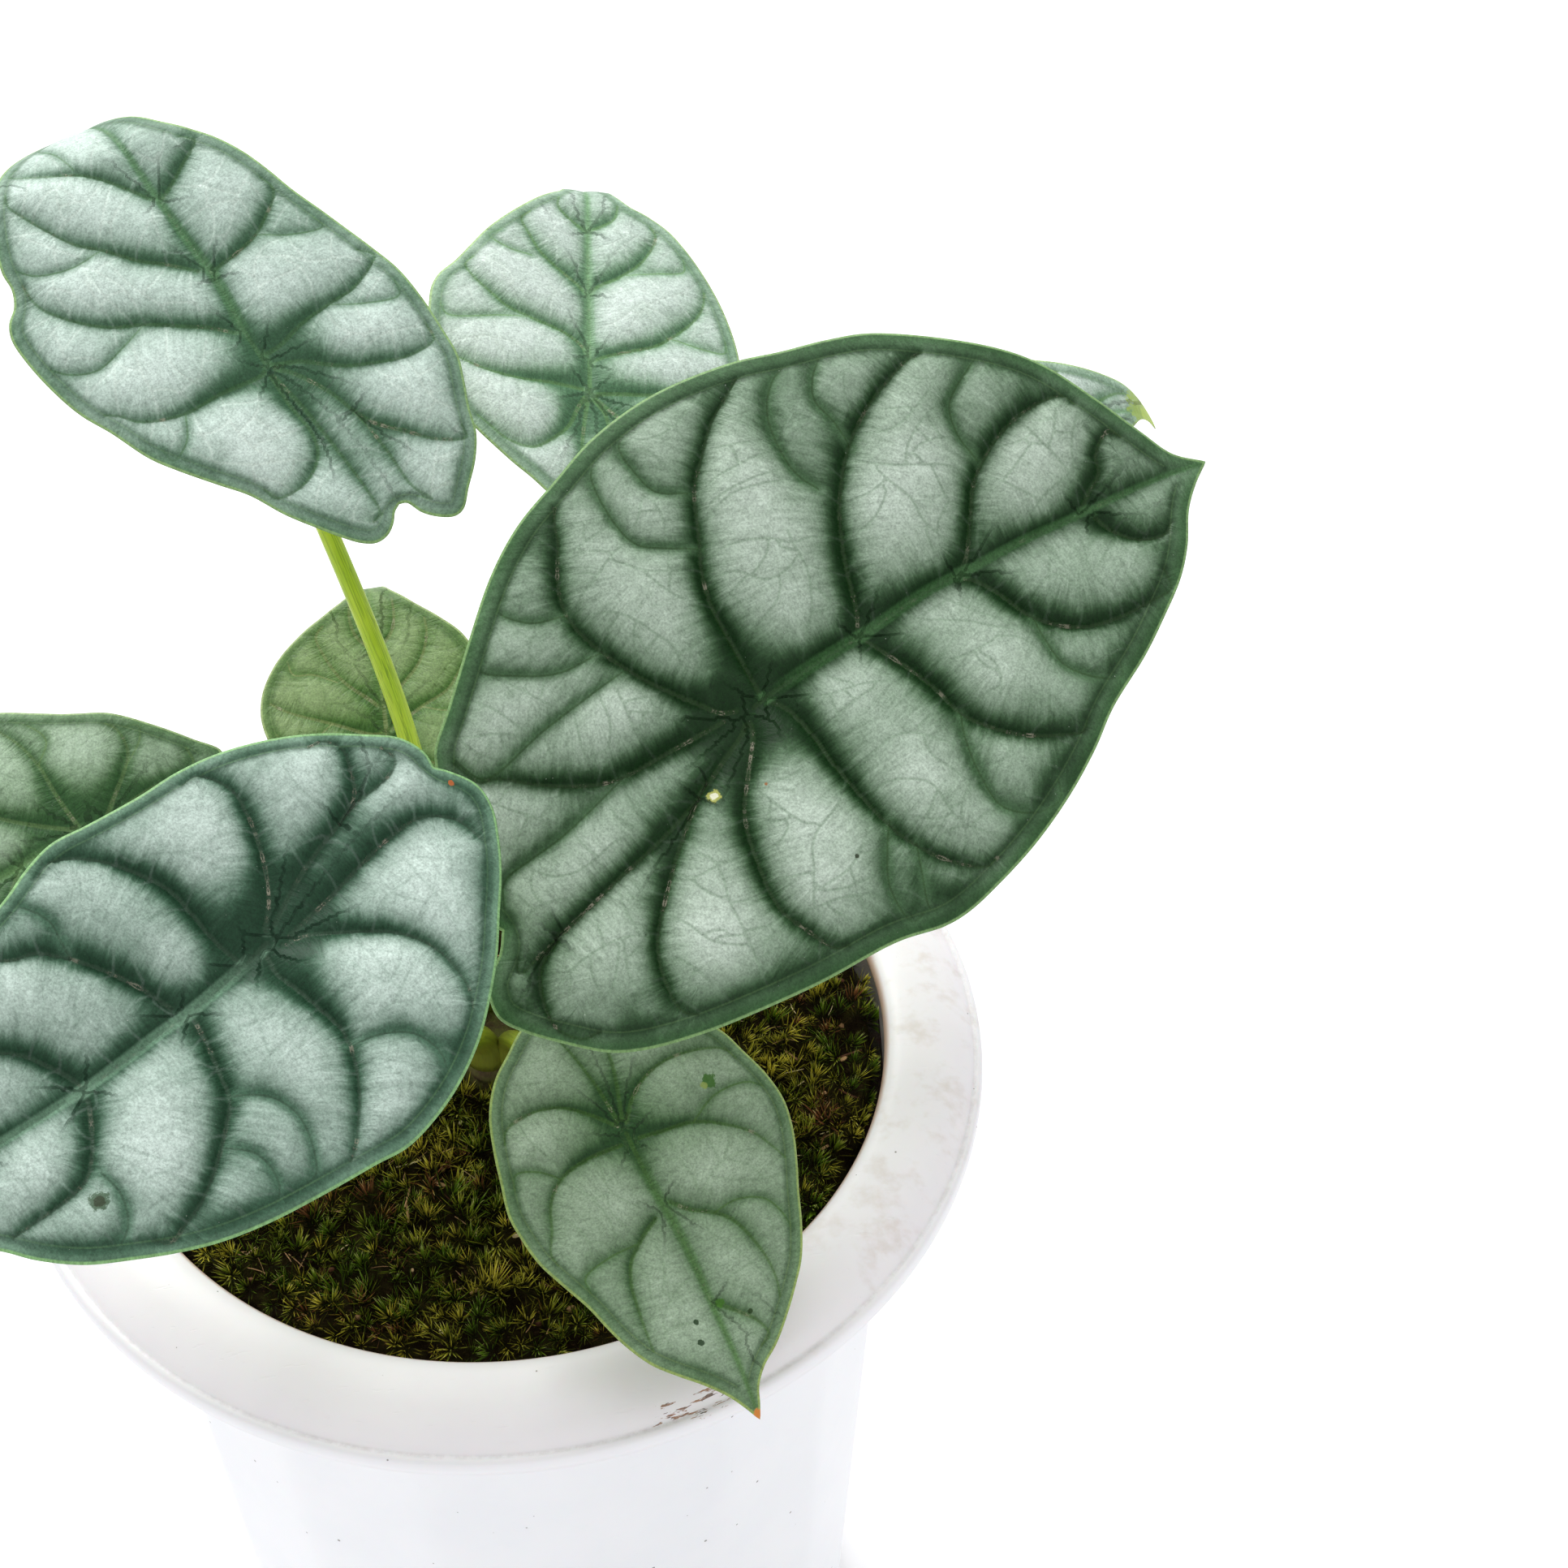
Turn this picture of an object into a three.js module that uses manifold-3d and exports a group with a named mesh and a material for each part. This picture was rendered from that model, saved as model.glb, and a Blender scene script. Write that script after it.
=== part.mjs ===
import * as THREE from 'three';
import * as BufferGeometryUtils from 'three/addons/utils/BufferGeometryUtils.js';
import Module from 'manifold-3d';

// A silver dragon alocasia in a white plastic pot. Millimetres, +Z up.
// The origin is the middle of the pot's foot. -Y is the front, +X the right.

const manifold = await Module();
manifold.setup();

// Pot
const potHeight = 225;
const lipRadius = 104.2;
const lipDrop = 6.5;
const lipDepth = 4;
// The rolled rim's cross-section as [radius, depth below the top], inside to lip above, neck to lip below.
const rimAbove = [[84.5, 2.2], [86.8, 0.6], [90, 0], [95, 0.8], [99.5, 2.7], [102.4, 4.8]];
const rimBelow = [[87, 4], [90, 1.7], [97, 3.4], [101, 6.6]];
const neckRadius = 86.4;
const footRadius = 73.4;
const panels = 16;
const panelEdgeAngle = -86;
const panelFlatness = 0.8;
const segmentsPerPanel = 4;
const wall = 1.7;
const footRingWidth = 6;
const footRise = 2.5;
const footEdge = 1;
const floorCorner = 3;
const padRadius = 20;
const drainHoles = 6;
const drainHoleRadius = 3.5;
const drainCircleRadius = 44;
const roundSegments = 48;

// Fill
const gap = 0.3;
const mixTop = 210;
const mossEdgeRadius = 80.5;
const mossEdgeTop = 215.5;
const mossDomeTop = 219;

// Crown, where every stalk starts
const crownRadius = 10.3;
const crownTop = 225;
const stalkCircleRadius = 7.3;

// A stalk bends square to its blade over its last few millimetres.
const neckBelowFace = 7;
const neckAlongStalk = 4;
const squareLength = 2;
const tubeSlack = 0.05;

// Leaf blades
const bladeThickness = 1;
const spokesPerStretch = 2;
const rings = 4;

// Each leaf: where the stalk meets the blade, the midrib's heading and climb, the blade's roll about it,
// the form of its surface, the stalk, and its margin from the tip down the right side to the notch
// between the back lobes, then up the left side to the tip. Margin points are in the blade's own plane,
// +y along the midrib and the notch below the stalk.
const leaves = {
  right_front: {
    navel: [52.5, -34, 347.5], heading: 20, climb: 12, roll: 30,
    form: { lift: 0.2, fall: 0.0024, tipFrom: 70, tipBend: 0.006, lobeBend: 0.002 },
    stalk: { width: 5, foot: -30, bow: [3, -6, 0] },
    right: [[0, 99], [6, 91.5], [18, 81], [27.5, 67], [38, 49.5], [47.5, 31], [52.2, 12], [50.3, -8],
      [48.5, -28], [44.5, -48], [36, -60], [26, -67.8], [19, -65.5], [12.5, -59.5]],
    left: [[12.5, -59.5], [5, -64], [-6, -63.5], [-19, -56], [-36, -39], [-50, -21], [-57.7, -2],
      [-59.8, 12], [-57.8, 30.2], [-54.3, 43.2], [-50.1, 55.2], [-37.5, 72.8],
      [-20.5, 84.8], [-8, 91.5], [0, 99]],
  },
  left_front: {
    navel: [-37.5, -77, 346.5], heading: -148.5, climb: -3, roll: -24,
    form: { lift: 0.2, fall: 0.0032, tipFrom: 45, tipBend: 0.004, lobeBend: 0.001 },
    stalk: { width: 5, foot: -120, bow: [-2, -8, 0] },
    right: [[0, 89], [8, 79.5], [18, 63], [26, 43], [32, 27], [33.7, 14], [33.2, -4], [32.3, -12.5],
      [29.8, -21.5], [22.5, -35.5], [17, -41.8], [13.5, -43.3], [11, -43]],
    left: [[11, -43], [8, -45.8], [2.5, -48.3], [-6, -45], [-18, -36], [-29.5, -25.5], [-39.2, -12],
      [-43.5, 2], [-42.3, 18], [-39.5, 36], [-33.7, 50], [-25, 62], [-14, 73.5], [-5, 82], [0, 89]],
  },
  left_back: {
    navel: [-30.5, 51.5, 370.5], heading: 119.5, climb: 26.5, roll: -9,
    form: { lift: 0.2, fall: 0.0034, tipFrom: 50, tipBend: 0.05, lobeBend: 0.002 },
    stalk: { width: 4.3, foot: 140, bow: [5.5, -3, 0] },
    right: [[0, 72], [6, 60.5], [12.5, 50], [19, 40], [23, 28], [27.5, 16], [31.8, 3], [32.5, -12],
      [28.5, -28], [24, -37.5], [17, -44.5], [12.5, -43.5], [7, -37.4]],
    left: [[7, -37.4], [2, -41.3], [-5.5, -38], [-17, -22.5], [-29.5, -7], [-38, 14], [-39.2, 25.5],
      [-35, 33.5], [-33.5, 41], [-28, 54], [-20, 63], [-9, 69], [0, 72]],
  },
  middle_back: {
    navel: [32.5, 63.5, 345.5], heading: 84.5, climb: 13, roll: 13,
    form: { lift: 0.18, fall: 0.0036, tipFrom: 48, tipBend: 0.05, lobeBend: 0.002 },
    stalk: { width: 4.3, foot: 60, bow: [0, 0, 0] },
    right: [[1, 67], [5.5, 58], [13, 47.5], [20, 40], [26, 29], [30, 17], [31, 3], [27, -13], [18, -26],
      [9, -31], [3, -27]],
    left: [[3, -27], [-2, -30], [-9, -25.8], [-20.5, -16], [-28, -6], [-32, 6], [-33, 17.5], [-31, 25.5],
      [-24.5, 34], [-16, 44.5], [-8, 52], [-3, 59.5], [1, 67]],
  },
  low_front: {
    navel: [22.5, -58.5, 259], heading: -71, climb: -22, roll: -0.5,
    form: { lift: 0.15, fall: 0.003, tipFrom: 45, tipBend: 0.01, lobeBend: 0.002 },
    stalk: { width: 3.6, foot: -75, bow: [0, -2, 6] },
    right: [[-0.5, 60.8], [1.8, 57], [5, 53.3], [11, 48], [18, 39], [21.5, 29.5], [26.8, 17.5], [28.3, 7],
      [26, -5], [22, -16], [11, -27], [5, -29.5], [0.5, -25]],
    left: [[0.5, -25], [-4, -29.5], [-12, -26], [-22, -17], [-28.2, -6.5], [-31.4, 6], [-28.5, 18],
      [-23.5, 30.5], [-17, 41], [-9, 49.5], [-4, 53.3], [-1.8, 57.5], [-0.5, 60.8]],
  },
  far_left: {
    navel: [-74.5, -8, 308.5], heading: -160, climb: -8, roll: -16,
    form: { lift: 0.2, fall: 0.004, tipFrom: 35, tipBend: 0.006, lobeBend: 0.002 },
    stalk: { width: 4.2, foot: 180, bow: [-4, 0, 6] },
    right: [[0, 72], [7, 63], [18, 52], [28, 36], [33, 20], [31, 6], [24, -6], [20, -14], [8, -26],
      [3, -29.5], [0, -25.5]],
    left: [[0, -25.5], [-4, -29.5], [-14, -24], [-26, -10], [-32, 6], [-33, 22], [-27, 40], [-17, 55],
      [-7, 64], [0, 72]],
  },
  low_back: {
    navel: [-16.5, 39, 279], heading: 91, climb: 19.5, roll: -4,
    form: { lift: 0.15, fall: 0.003, tipFrom: 31, tipBend: 0.1, lobeBend: 0.002 },
    stalk: { width: 3.2, foot: 100, bow: [0, 2, 2] },
    right: [[0, 45], [3.2, 36], [8, 31], [14, 25.5], [18.5, 20.5], [22, 12], [22, 2], [17, -9], [9, -14.5],
      [4, -15.5], [1, -12]],
    left: [[1, -12], [-3, -16], [-11, -15], [-20, -8], [-24.4, 1], [-25.4, 8], [-24.6, 14], [-21, 20.5],
      [-15, 26.5], [-7, 33], [-3, 37], [0, 45]],
  },
  right_back: {
    navel: [82, 57.5, 321], heading: 8.5, climb: 1.5, roll: 20,
    form: { lift: 0.2, fall: 0.004, tipFrom: 45, tipBend: 0.01, lobeBend: 0.002 },
    stalk: { width: 4.2, foot: 15, bow: [4, 2, 0] },
    right: [[-3.5, 75.3], [-2.8, 71], [0.5, 67], [6, 60], [17, 44], [25, 26], [29, 8], [27, -8], [19, -23],
      [9, -31], [3, -27]],
    left: [[3, -27], [-3, -31], [-13, -28], [-25, -18], [-30.8, -8], [-30.2, 8], [-28.5, 19], [-24.5, 31],
      [-19, 44], [-15, 55], [-9, 69], [-6, 73.2], [-3.5, 75.3]],
  },
};

function finish(color, roughness) {
  return new THREE.MeshStandardMaterial({ color, roughness, metalness: 0 });
}

const whitePlastic = finish(0xf1f2f4, 0.35);
const darkMix = finish(0x2e2118, 0.95);
const mossGreen = finish(0x4d5220, 0.95);
const crownGreen = finish(0x6f7a33, 0.6);
const drySheath = finish(0xa98d57, 0.9);
const silverGreen = finish(0x8ea89a, 0.45);
const stalkGreen = finish(0x94b21c, 0.5);

function toManifold(geometry) {
  const bare = geometry.clone();
  bare.deleteAttribute('normal');
  bare.deleteAttribute('uv');
  const merged = BufferGeometryUtils.mergeVertices(bare, 1e-4);
  return new manifold.Manifold(new manifold.Mesh({
    numProp: 3,
    vertProperties: Float32Array.from(merged.attributes.position.array),
    triVerts: Uint32Array.from(merged.index.array),
  }));
}

function fromManifold(solid) {
  const mesh = solid.getMesh();
  const geometry = new THREE.BufferGeometry();
  geometry.setAttribute('position', new THREE.BufferAttribute(new Float32Array(mesh.vertProperties), 3));
  geometry.setIndex(new THREE.BufferAttribute(new Uint32Array(mesh.triVerts), 1));
  geometry.computeVertexNormals();
  return geometry;
}

// A solid of revolution about +Z from [radius, height] pairs.
function turned(profile, segments) {
  const points = profile.map(([radius, height]) => new THREE.Vector2(radius, height));
  return new THREE.LatheGeometry(points, segments).rotateX(Math.PI / 2);
}

// The same, with its segments in step with the panels of the body.
function turnedOnPanels(profile) {
  return turned(profile, panels * segmentsPerPanel).rotateZ(THREE.MathUtils.degToRad(panelEdgeAngle));
}

function outerWallRadius(height) {
  const neckHeight = potHeight - lipDrop;
  return footRadius + (neckRadius - footRadius) * (height / neckHeight);
}

function innerWallRadius(height) {
  return outerWallRadius(height) - wall;
}

// The body below the rim is faintly panelled: flat between soft edges that run up the wall.
function panelled(geometry, panelTop) {
  const corners = geometry.attributes.position;
  const panelAngle = (2 * Math.PI) / panels;
  const smallest = footRadius / 2;
  for (let i = 0; i < corners.count; i++) {
    const x = corners.getX(i);
    const y = corners.getY(i);
    if (corners.getZ(i) > panelTop || Math.hypot(x, y) < smallest) {
      continue;
    }
    const fromEdge = Math.atan2(y, x) - THREE.MathUtils.degToRad(panelEdgeAngle);
    const inPanel = THREE.MathUtils.euclideanModulo(fromEdge, panelAngle) - panelAngle / 2;
    const flat = Math.cos(panelAngle / 2) / Math.cos(inPanel);
    const scale = 1 + panelFlatness * (flat - 1);
    corners.setXY(i, x * scale, y * scale);
  }
  return geometry;
}

// The pot stands on a ring and a flat pad in the middle. Between them its floor rises, with drain holes.
function makePot() {
  const lipTop = potHeight - lipDrop;
  const lipBottom = lipTop - lipDepth;
  const ringInner = footRadius - footRingWidth;
  const channelOuter = ringInner - footRise;
  const channelInner = padRadius + footRise;
  const floorTop = footRise + wall;
  const panelTop = lipBottom - 1;
  const neckTop = panelTop + 3;
  const belowTop = ([radius, depth]) => [radius, potHeight - depth];
  const profile = [
    [0, 0], [padRadius, 0], [channelInner, footRise], [channelOuter, footRise], [ringInner, 0],
    [footRadius - footEdge, 0], [footRadius, footEdge],
    [outerWallRadius(panelTop), panelTop], [outerWallRadius(neckTop), neckTop],
    ...rimBelow.map(belowTop),
    [lipRadius - wall, lipTop - wall], [lipRadius - wall, lipBottom],
    [lipRadius, lipBottom], [lipRadius, lipTop],
    ...rimAbove.map(belowTop).reverse(),
    [innerWallRadius(neckTop), neckTop], [innerWallRadius(panelTop), panelTop],
    [innerWallRadius(floorTop + floorCorner), floorTop + floorCorner],
    [innerWallRadius(floorTop) - floorCorner, floorTop],
    [0, floorTop],
  ];
  let solid = toManifold(panelled(turnedOnPanels(profile), panelTop));
  const drillLength = 4 * floorTop;
  for (let i = 0; i < drainHoles; i++) {
    const angle = (2 * Math.PI * i) / drainHoles;
    const drill = new THREE.CylinderGeometry(drainHoleRadius, drainHoleRadius, drillLength, 16);
    drill.rotateX(Math.PI / 2);
    drill.translate(drainCircleRadius * Math.cos(angle), drainCircleRadius * Math.sin(angle), floorTop);
    solid = solid.subtract(toManifold(drill));
  }
  return fromManifold(solid);
}

function makeMix() {
  const bottom = footRise + wall + gap;
  const edge = innerWallRadius(bottom) - floorCorner - gap;
  const cornerTop = bottom + floorCorner;
  const profile = [
    [0, bottom], [edge, bottom], [innerWallRadius(cornerTop) - gap, cornerTop],
    [innerWallRadius(mixTop) - gap, mixTop], [0, mixTop],
  ];
  return panelled(turnedOnPanels(profile), mixTop);
}

// A low dome of moss with a hole for the crown and a free edge inside the pot's wall.
function makeMoss() {
  const bottom = mixTop + gap;
  const hole = crownRadius + gap;
  const shoulder = mossEdgeRadius - 1.5;
  const profile = [
    [hole, bottom], [mossEdgeRadius, bottom], [mossEdgeRadius, mossEdgeTop - 1.5],
  ];
  const steps = 6;
  for (let i = 0; i <= steps; i++) {
    const reach = 1 - i / steps;
    profile.push([
      hole + (shoulder - hole) * reach,
      mossEdgeTop + (mossDomeTop - mossEdgeTop) * (1 - reach * reach),
    ]);
  }
  profile.push([hole, bottom]);
  return turned(profile, roundSegments);
}

function makeCrown() {
  const bottom = mixTop + gap;
  const profile = [[0, bottom], [crownRadius, bottom], [crownRadius, crownTop], [0, crownTop]];
  return turned(profile, roundSegments);
}

// A dry bract: part of a thin cone that stands beside the crown and leans away from it.
function makeSheath(facing, halfWidth, height) {
  const foot = mossDomeTop + gap;
  const innerFoot = crownRadius + gap;
  const lean = 0.22;
  const taperShare = 0.86;
  const thickness = 0.8;
  const columns = 8;
  const rows = 4;
  const front = [];
  const back = [];
  for (let row = 0; row <= rows; row++) {
    const up = row / rows;
    const taper = Math.sqrt(1 - taperShare * up);
    for (let column = 0; column <= columns; column++) {
      const angle = THREE.MathUtils.degToRad(facing + halfWidth * taper * ((2 * column) / columns - 1));
      const radius = innerFoot + lean * height * up;
      const z = foot + height * up;
      back.push([radius * Math.cos(angle), radius * Math.sin(angle), z]);
      const outer = radius + thickness;
      front.push([outer * Math.cos(angle), outer * Math.sin(angle), z]);
    }
  }
  return closedSheet(front, back, columns + 1, rows + 1);
}

// A closed body from two grids of points, the front seen from outside with columns running to the left.
function closedSheet(front, back, columns, rows) {
  const positions = [...front, ...back].flat();
  const index = [];
  const at = (side, column, row) => side * columns * rows + row * columns + column;
  const quad = (a, b, c, d) => index.push(a, b, c, a, c, d);
  for (let row = 0; row + 1 < rows; row++) {
    for (let column = 0; column + 1 < columns; column++) {
      quad(at(0, column, row), at(0, column + 1, row), at(0, column + 1, row + 1), at(0, column, row + 1));
      quad(at(1, column, row), at(1, column, row + 1), at(1, column + 1, row + 1), at(1, column + 1, row));
    }
    const last = columns - 1;
    quad(at(1, 0, row), at(0, 0, row), at(0, 0, row + 1), at(1, 0, row + 1));
    quad(at(0, last, row), at(1, last, row), at(1, last, row + 1), at(0, last, row + 1));
  }
  const top = rows - 1;
  for (let column = 0; column + 1 < columns; column++) {
    quad(at(1, column, 0), at(1, column + 1, 0), at(0, column + 1, 0), at(0, column, 0));
    quad(at(0, column, top), at(0, column + 1, top), at(1, column + 1, top), at(1, column, top));
  }
  return indexed(positions, index);
}

function indexed(positions, index) {
  const geometry = new THREE.BufferGeometry();
  geometry.setAttribute('position', new THREE.Float32BufferAttribute(positions, 3));
  geometry.setIndex(index);
  geometry.computeVertexNormals();
  return geometry;
}

// The blade's frame: along runs up the midrib, face is the upper side's normal, across points right.
function bladeFrame(leaf) {
  const heading = THREE.MathUtils.degToRad(leaf.heading);
  const climb = THREE.MathUtils.degToRad(leaf.climb);
  const along = new THREE.Vector3(
    Math.cos(heading) * Math.cos(climb), Math.sin(heading) * Math.cos(climb), Math.sin(climb),
  );
  const level = new THREE.Vector3().crossVectors(along, new THREE.Vector3(0, 0, 1)).normalize();
  const upright = new THREE.Vector3().crossVectors(level, along);
  const roll = THREE.MathUtils.degToRad(leaf.roll);
  const face = upright.multiplyScalar(Math.cos(roll)).addScaledVector(level, Math.sin(roll));
  const across = new THREE.Vector3().crossVectors(along, face);
  return { navel: new THREE.Vector3(...leaf.navel), across, along, face };
}

// Height of the blade's middle surface: halves lift off the midrib and roll down at the margin,
// and the tip and the back lobes droop.
function bladeHeight(form, x, y) {
  const beside = Math.sqrt(x * x + 4) - 2;
  const pastTip = Math.max(0, y - form.tipFrom);
  const intoLobes = Math.max(0, -y);
  return form.lift * beside - form.fall * x * x - form.tipBend * pastTip * pastTip
    - form.lobeBend * intoLobes * intoLobes;
}

function marginPoints(leaf) {
  return [leaf.right, leaf.left].flatMap((side) => {
    const curve = new THREE.SplineCurve(side.map(([x, y]) => new THREE.Vector2(x, y)));
    return curve.getPoints(spokesPerStretch * (side.length - 1)).slice(0, -1);
  });
}

// A closed sheet on spokes from the stalk to the margin.
function makeBlade(leaf) {
  const { navel, across, along, face } = bladeFrame(leaf);
  const margin = marginPoints(leaf);
  const spokes = margin.length;
  const positions = [];
  const sides = [bladeThickness / 2, -bladeThickness / 2];
  for (const offset of sides) {
    const place = (x, y) => {
      const height = bladeHeight(leaf.form, x, y) + offset;
      const point = navel.clone().addScaledVector(across, x).addScaledVector(along, y);
      positions.push(...point.addScaledVector(face, height).toArray());
    };
    place(0, 0);
    for (let ring = 1; ring <= rings; ring++) {
      for (const { x, y } of margin) {
        place((x * ring) / rings, (y * ring) / rings);
      }
    }
  }
  const perSide = 1 + rings * spokes;
  const at = (side, ring, spoke) => side * perSide + 1 + (ring - 1) * spokes + (spoke % spokes);
  const index = [];
  const quad = (a, b, c, d) => index.push(a, b, c, a, c, d);
  for (let spoke = 0; spoke < spokes; spoke++) {
    const next = spoke + 1;
    index.push(0, at(0, 1, next), at(0, 1, spoke));
    index.push(perSide, at(1, 1, spoke), at(1, 1, next));
    for (let ring = 1; ring < rings; ring++) {
      quad(at(0, ring, spoke), at(0, ring, next), at(0, ring + 1, next), at(0, ring + 1, spoke));
      quad(at(1, ring, spoke), at(1, ring + 1, spoke), at(1, ring + 1, next), at(1, ring, next));
    }
    quad(at(0, rings, spoke), at(0, rings, next), at(1, rings, next), at(1, rings, spoke));
  }
  return indexed(positions, index);
}

// A round stalk from the crown's top to just under the blade, which it meets square on.
function makeStalk(leaf) {
  const { navel, face } = bladeFrame(leaf);
  const foot = THREE.MathUtils.degToRad(leaf.stalk.foot);
  const start = new THREE.Vector3(
    stalkCircleRadius * Math.cos(foot), stalkCircleRadius * Math.sin(foot), crownTop + gap,
  );
  const rise = start.clone().add(new THREE.Vector3(0, 0, 5));
  const end = navel.clone().addScaledVector(face, -(bladeThickness / 2 + gap + tubeSlack));
  const reach = navel.clone().sub(rise).normalize();
  const neck = navel.clone().addScaledVector(face, -neckBelowFace).addScaledVector(reach, -neckAlongStalk);
  const square = end.clone().addScaledVector(face, -squareLength);
  const middle = rise.clone().lerp(neck, 0.5).add(new THREE.Vector3(...leaf.stalk.bow));
  const path = new THREE.CatmullRomCurve3([start, rise, middle, neck, square, end]);
  const section = new THREE.Shape().absarc(0, 0, leaf.stalk.width / 2, 0, 2 * Math.PI);
  const options = { steps: 20, curveSegments: 8, bevelEnabled: false, extrudePath: path };
  return new THREE.ExtrudeGeometry(section, options);
}

const plant = new THREE.Group();

function add(name, geometry, material) {
  const mesh = new THREE.Mesh(geometry, material);
  mesh.name = name;
  plant.add(mesh);
}

add('pot', makePot(), whitePlastic);
add('potting_mix', makeMix(), darkMix);
add('moss_cushion', makeMoss(), mossGreen);
add('crown', makeCrown(), crownGreen);
add('dry_sheath_1', makeSheath(-45, 34, 17), drySheath);
add('dry_sheath_2', makeSheath(160, 28, 12), drySheath);
for (const [place, leaf] of Object.entries(leaves)) {
  add(`leaf_blade_${place}`, makeBlade(leaf), silverGreen);
  add(`leaf_stalk_${place}`, makeStalk(leaf), stalkGreen);
}

export default plant;
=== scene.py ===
import math

import bpy
import bmesh
import numpy as np
from mathutils import Matrix, Vector, geometry, kdtree


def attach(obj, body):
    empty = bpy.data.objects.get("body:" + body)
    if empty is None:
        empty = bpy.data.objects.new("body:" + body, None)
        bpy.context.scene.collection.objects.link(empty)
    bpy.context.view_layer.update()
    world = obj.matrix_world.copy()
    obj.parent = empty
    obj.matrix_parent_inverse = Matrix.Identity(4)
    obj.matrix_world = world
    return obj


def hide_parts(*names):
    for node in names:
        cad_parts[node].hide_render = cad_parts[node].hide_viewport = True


# A silver dragon alocasia in a white plastic pot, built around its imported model.
# Lengths are millimetres. MM turns them into the frame's metres.

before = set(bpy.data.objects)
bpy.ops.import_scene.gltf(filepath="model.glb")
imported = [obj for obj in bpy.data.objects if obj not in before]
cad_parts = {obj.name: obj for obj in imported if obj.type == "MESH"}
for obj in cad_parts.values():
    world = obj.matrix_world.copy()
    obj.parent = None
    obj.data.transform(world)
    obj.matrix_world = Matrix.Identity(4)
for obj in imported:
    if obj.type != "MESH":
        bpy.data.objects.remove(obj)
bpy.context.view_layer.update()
MM = 0.001
UP = np.array([0.0, 0.0, 1.0])
WAXY = {"Subsurface Weight": 0.1, "Subsurface Scale": 0.003}

# The pot and its wall's panels
LIP_TOP = 218.5
LIP_BOTTOM = 214.5
FOOT_RADIUS = 73.4
TOP_RADIUS = 86.4
POT_WALL = 1.7
PANELS = 16
PANEL_EDGE = -86.0
DRAIN_HOLES = 6

# The crown, the stalks' feet on it and the dry bracts
CROWN_FOOT = 210.4
CROWN_TOP = 225.0
CROWN_RADIUS = 10.6
STALK_CIRCLE = 7.3
STALK_ROOT = 2.0
SHEATH_FOOT = 219.2

# The moss: the reach of its shoots' grid, where it meets the wall, the wall that no shoot passes and the
# turn from one leaf of a shoot to the next
MOSS_EDGE = 80.0
MOSS_WALL = 79.0
WALL_RADIUS = 82.3
LEAF_TURN = 2.39996

# Blades: the share of the swelling below the imported model's middle surface, half the thickness at the
# margin, how near a line a mesh point is on it, how far apart fine veins start, what sets the ribs'
# textures apart, and the way that slopes face where shade is painted, away from the back-left lamp
SUNKEN = 0.3
EDGE_HALF = 0.2
ON_LINE = 0.08
FINE_APART = 6.5
RIB_APART = 37.0
SHADED_SIDE = np.array([0.6, -0.8, 0.0])


# Materials

def operator(operation, swapped=False):
    """A method of Field that works out a number from its socket and perhaps one more value."""
    def method(self, *others):
        values = (self, *others)[::-1] if swapped else (self, *others)
        return self.finish.node("ShaderNodeMath", {"operation": operation}, dict(enumerate(values)))
    return method


class Field:
    """A node socket that takes part in expressions."""

    __add__ = operator("ADD")
    __radd__ = operator("ADD", swapped=True)
    __sub__ = operator("SUBTRACT")
    __rsub__ = operator("SUBTRACT", swapped=True)
    __mul__ = operator("MULTIPLY")
    __rmul__ = operator("MULTIPLY", swapped=True)
    __truediv__ = operator("DIVIDE")
    __pow__ = operator("POWER")
    at_most = operator("MINIMUM")
    angle_from = operator("ARCTAN2")

    def __init__(self, finish, socket):
        self.finish = finish
        self.socket = socket

    def ramp(self, start, end):
        """Goes smoothly from 0 to 1 as this goes from start to end, and stays there."""
        low, high = (1.0, 0.0) if start > end else (0.0, 1.0)
        inputs = {0: self, 1: min(start, end), 2: max(start, end), 3: low, 4: high}
        return self.finish.node("ShaderNodeMapRange", {"interpolation_type": "SMOOTHSTEP"}, inputs)


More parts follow.
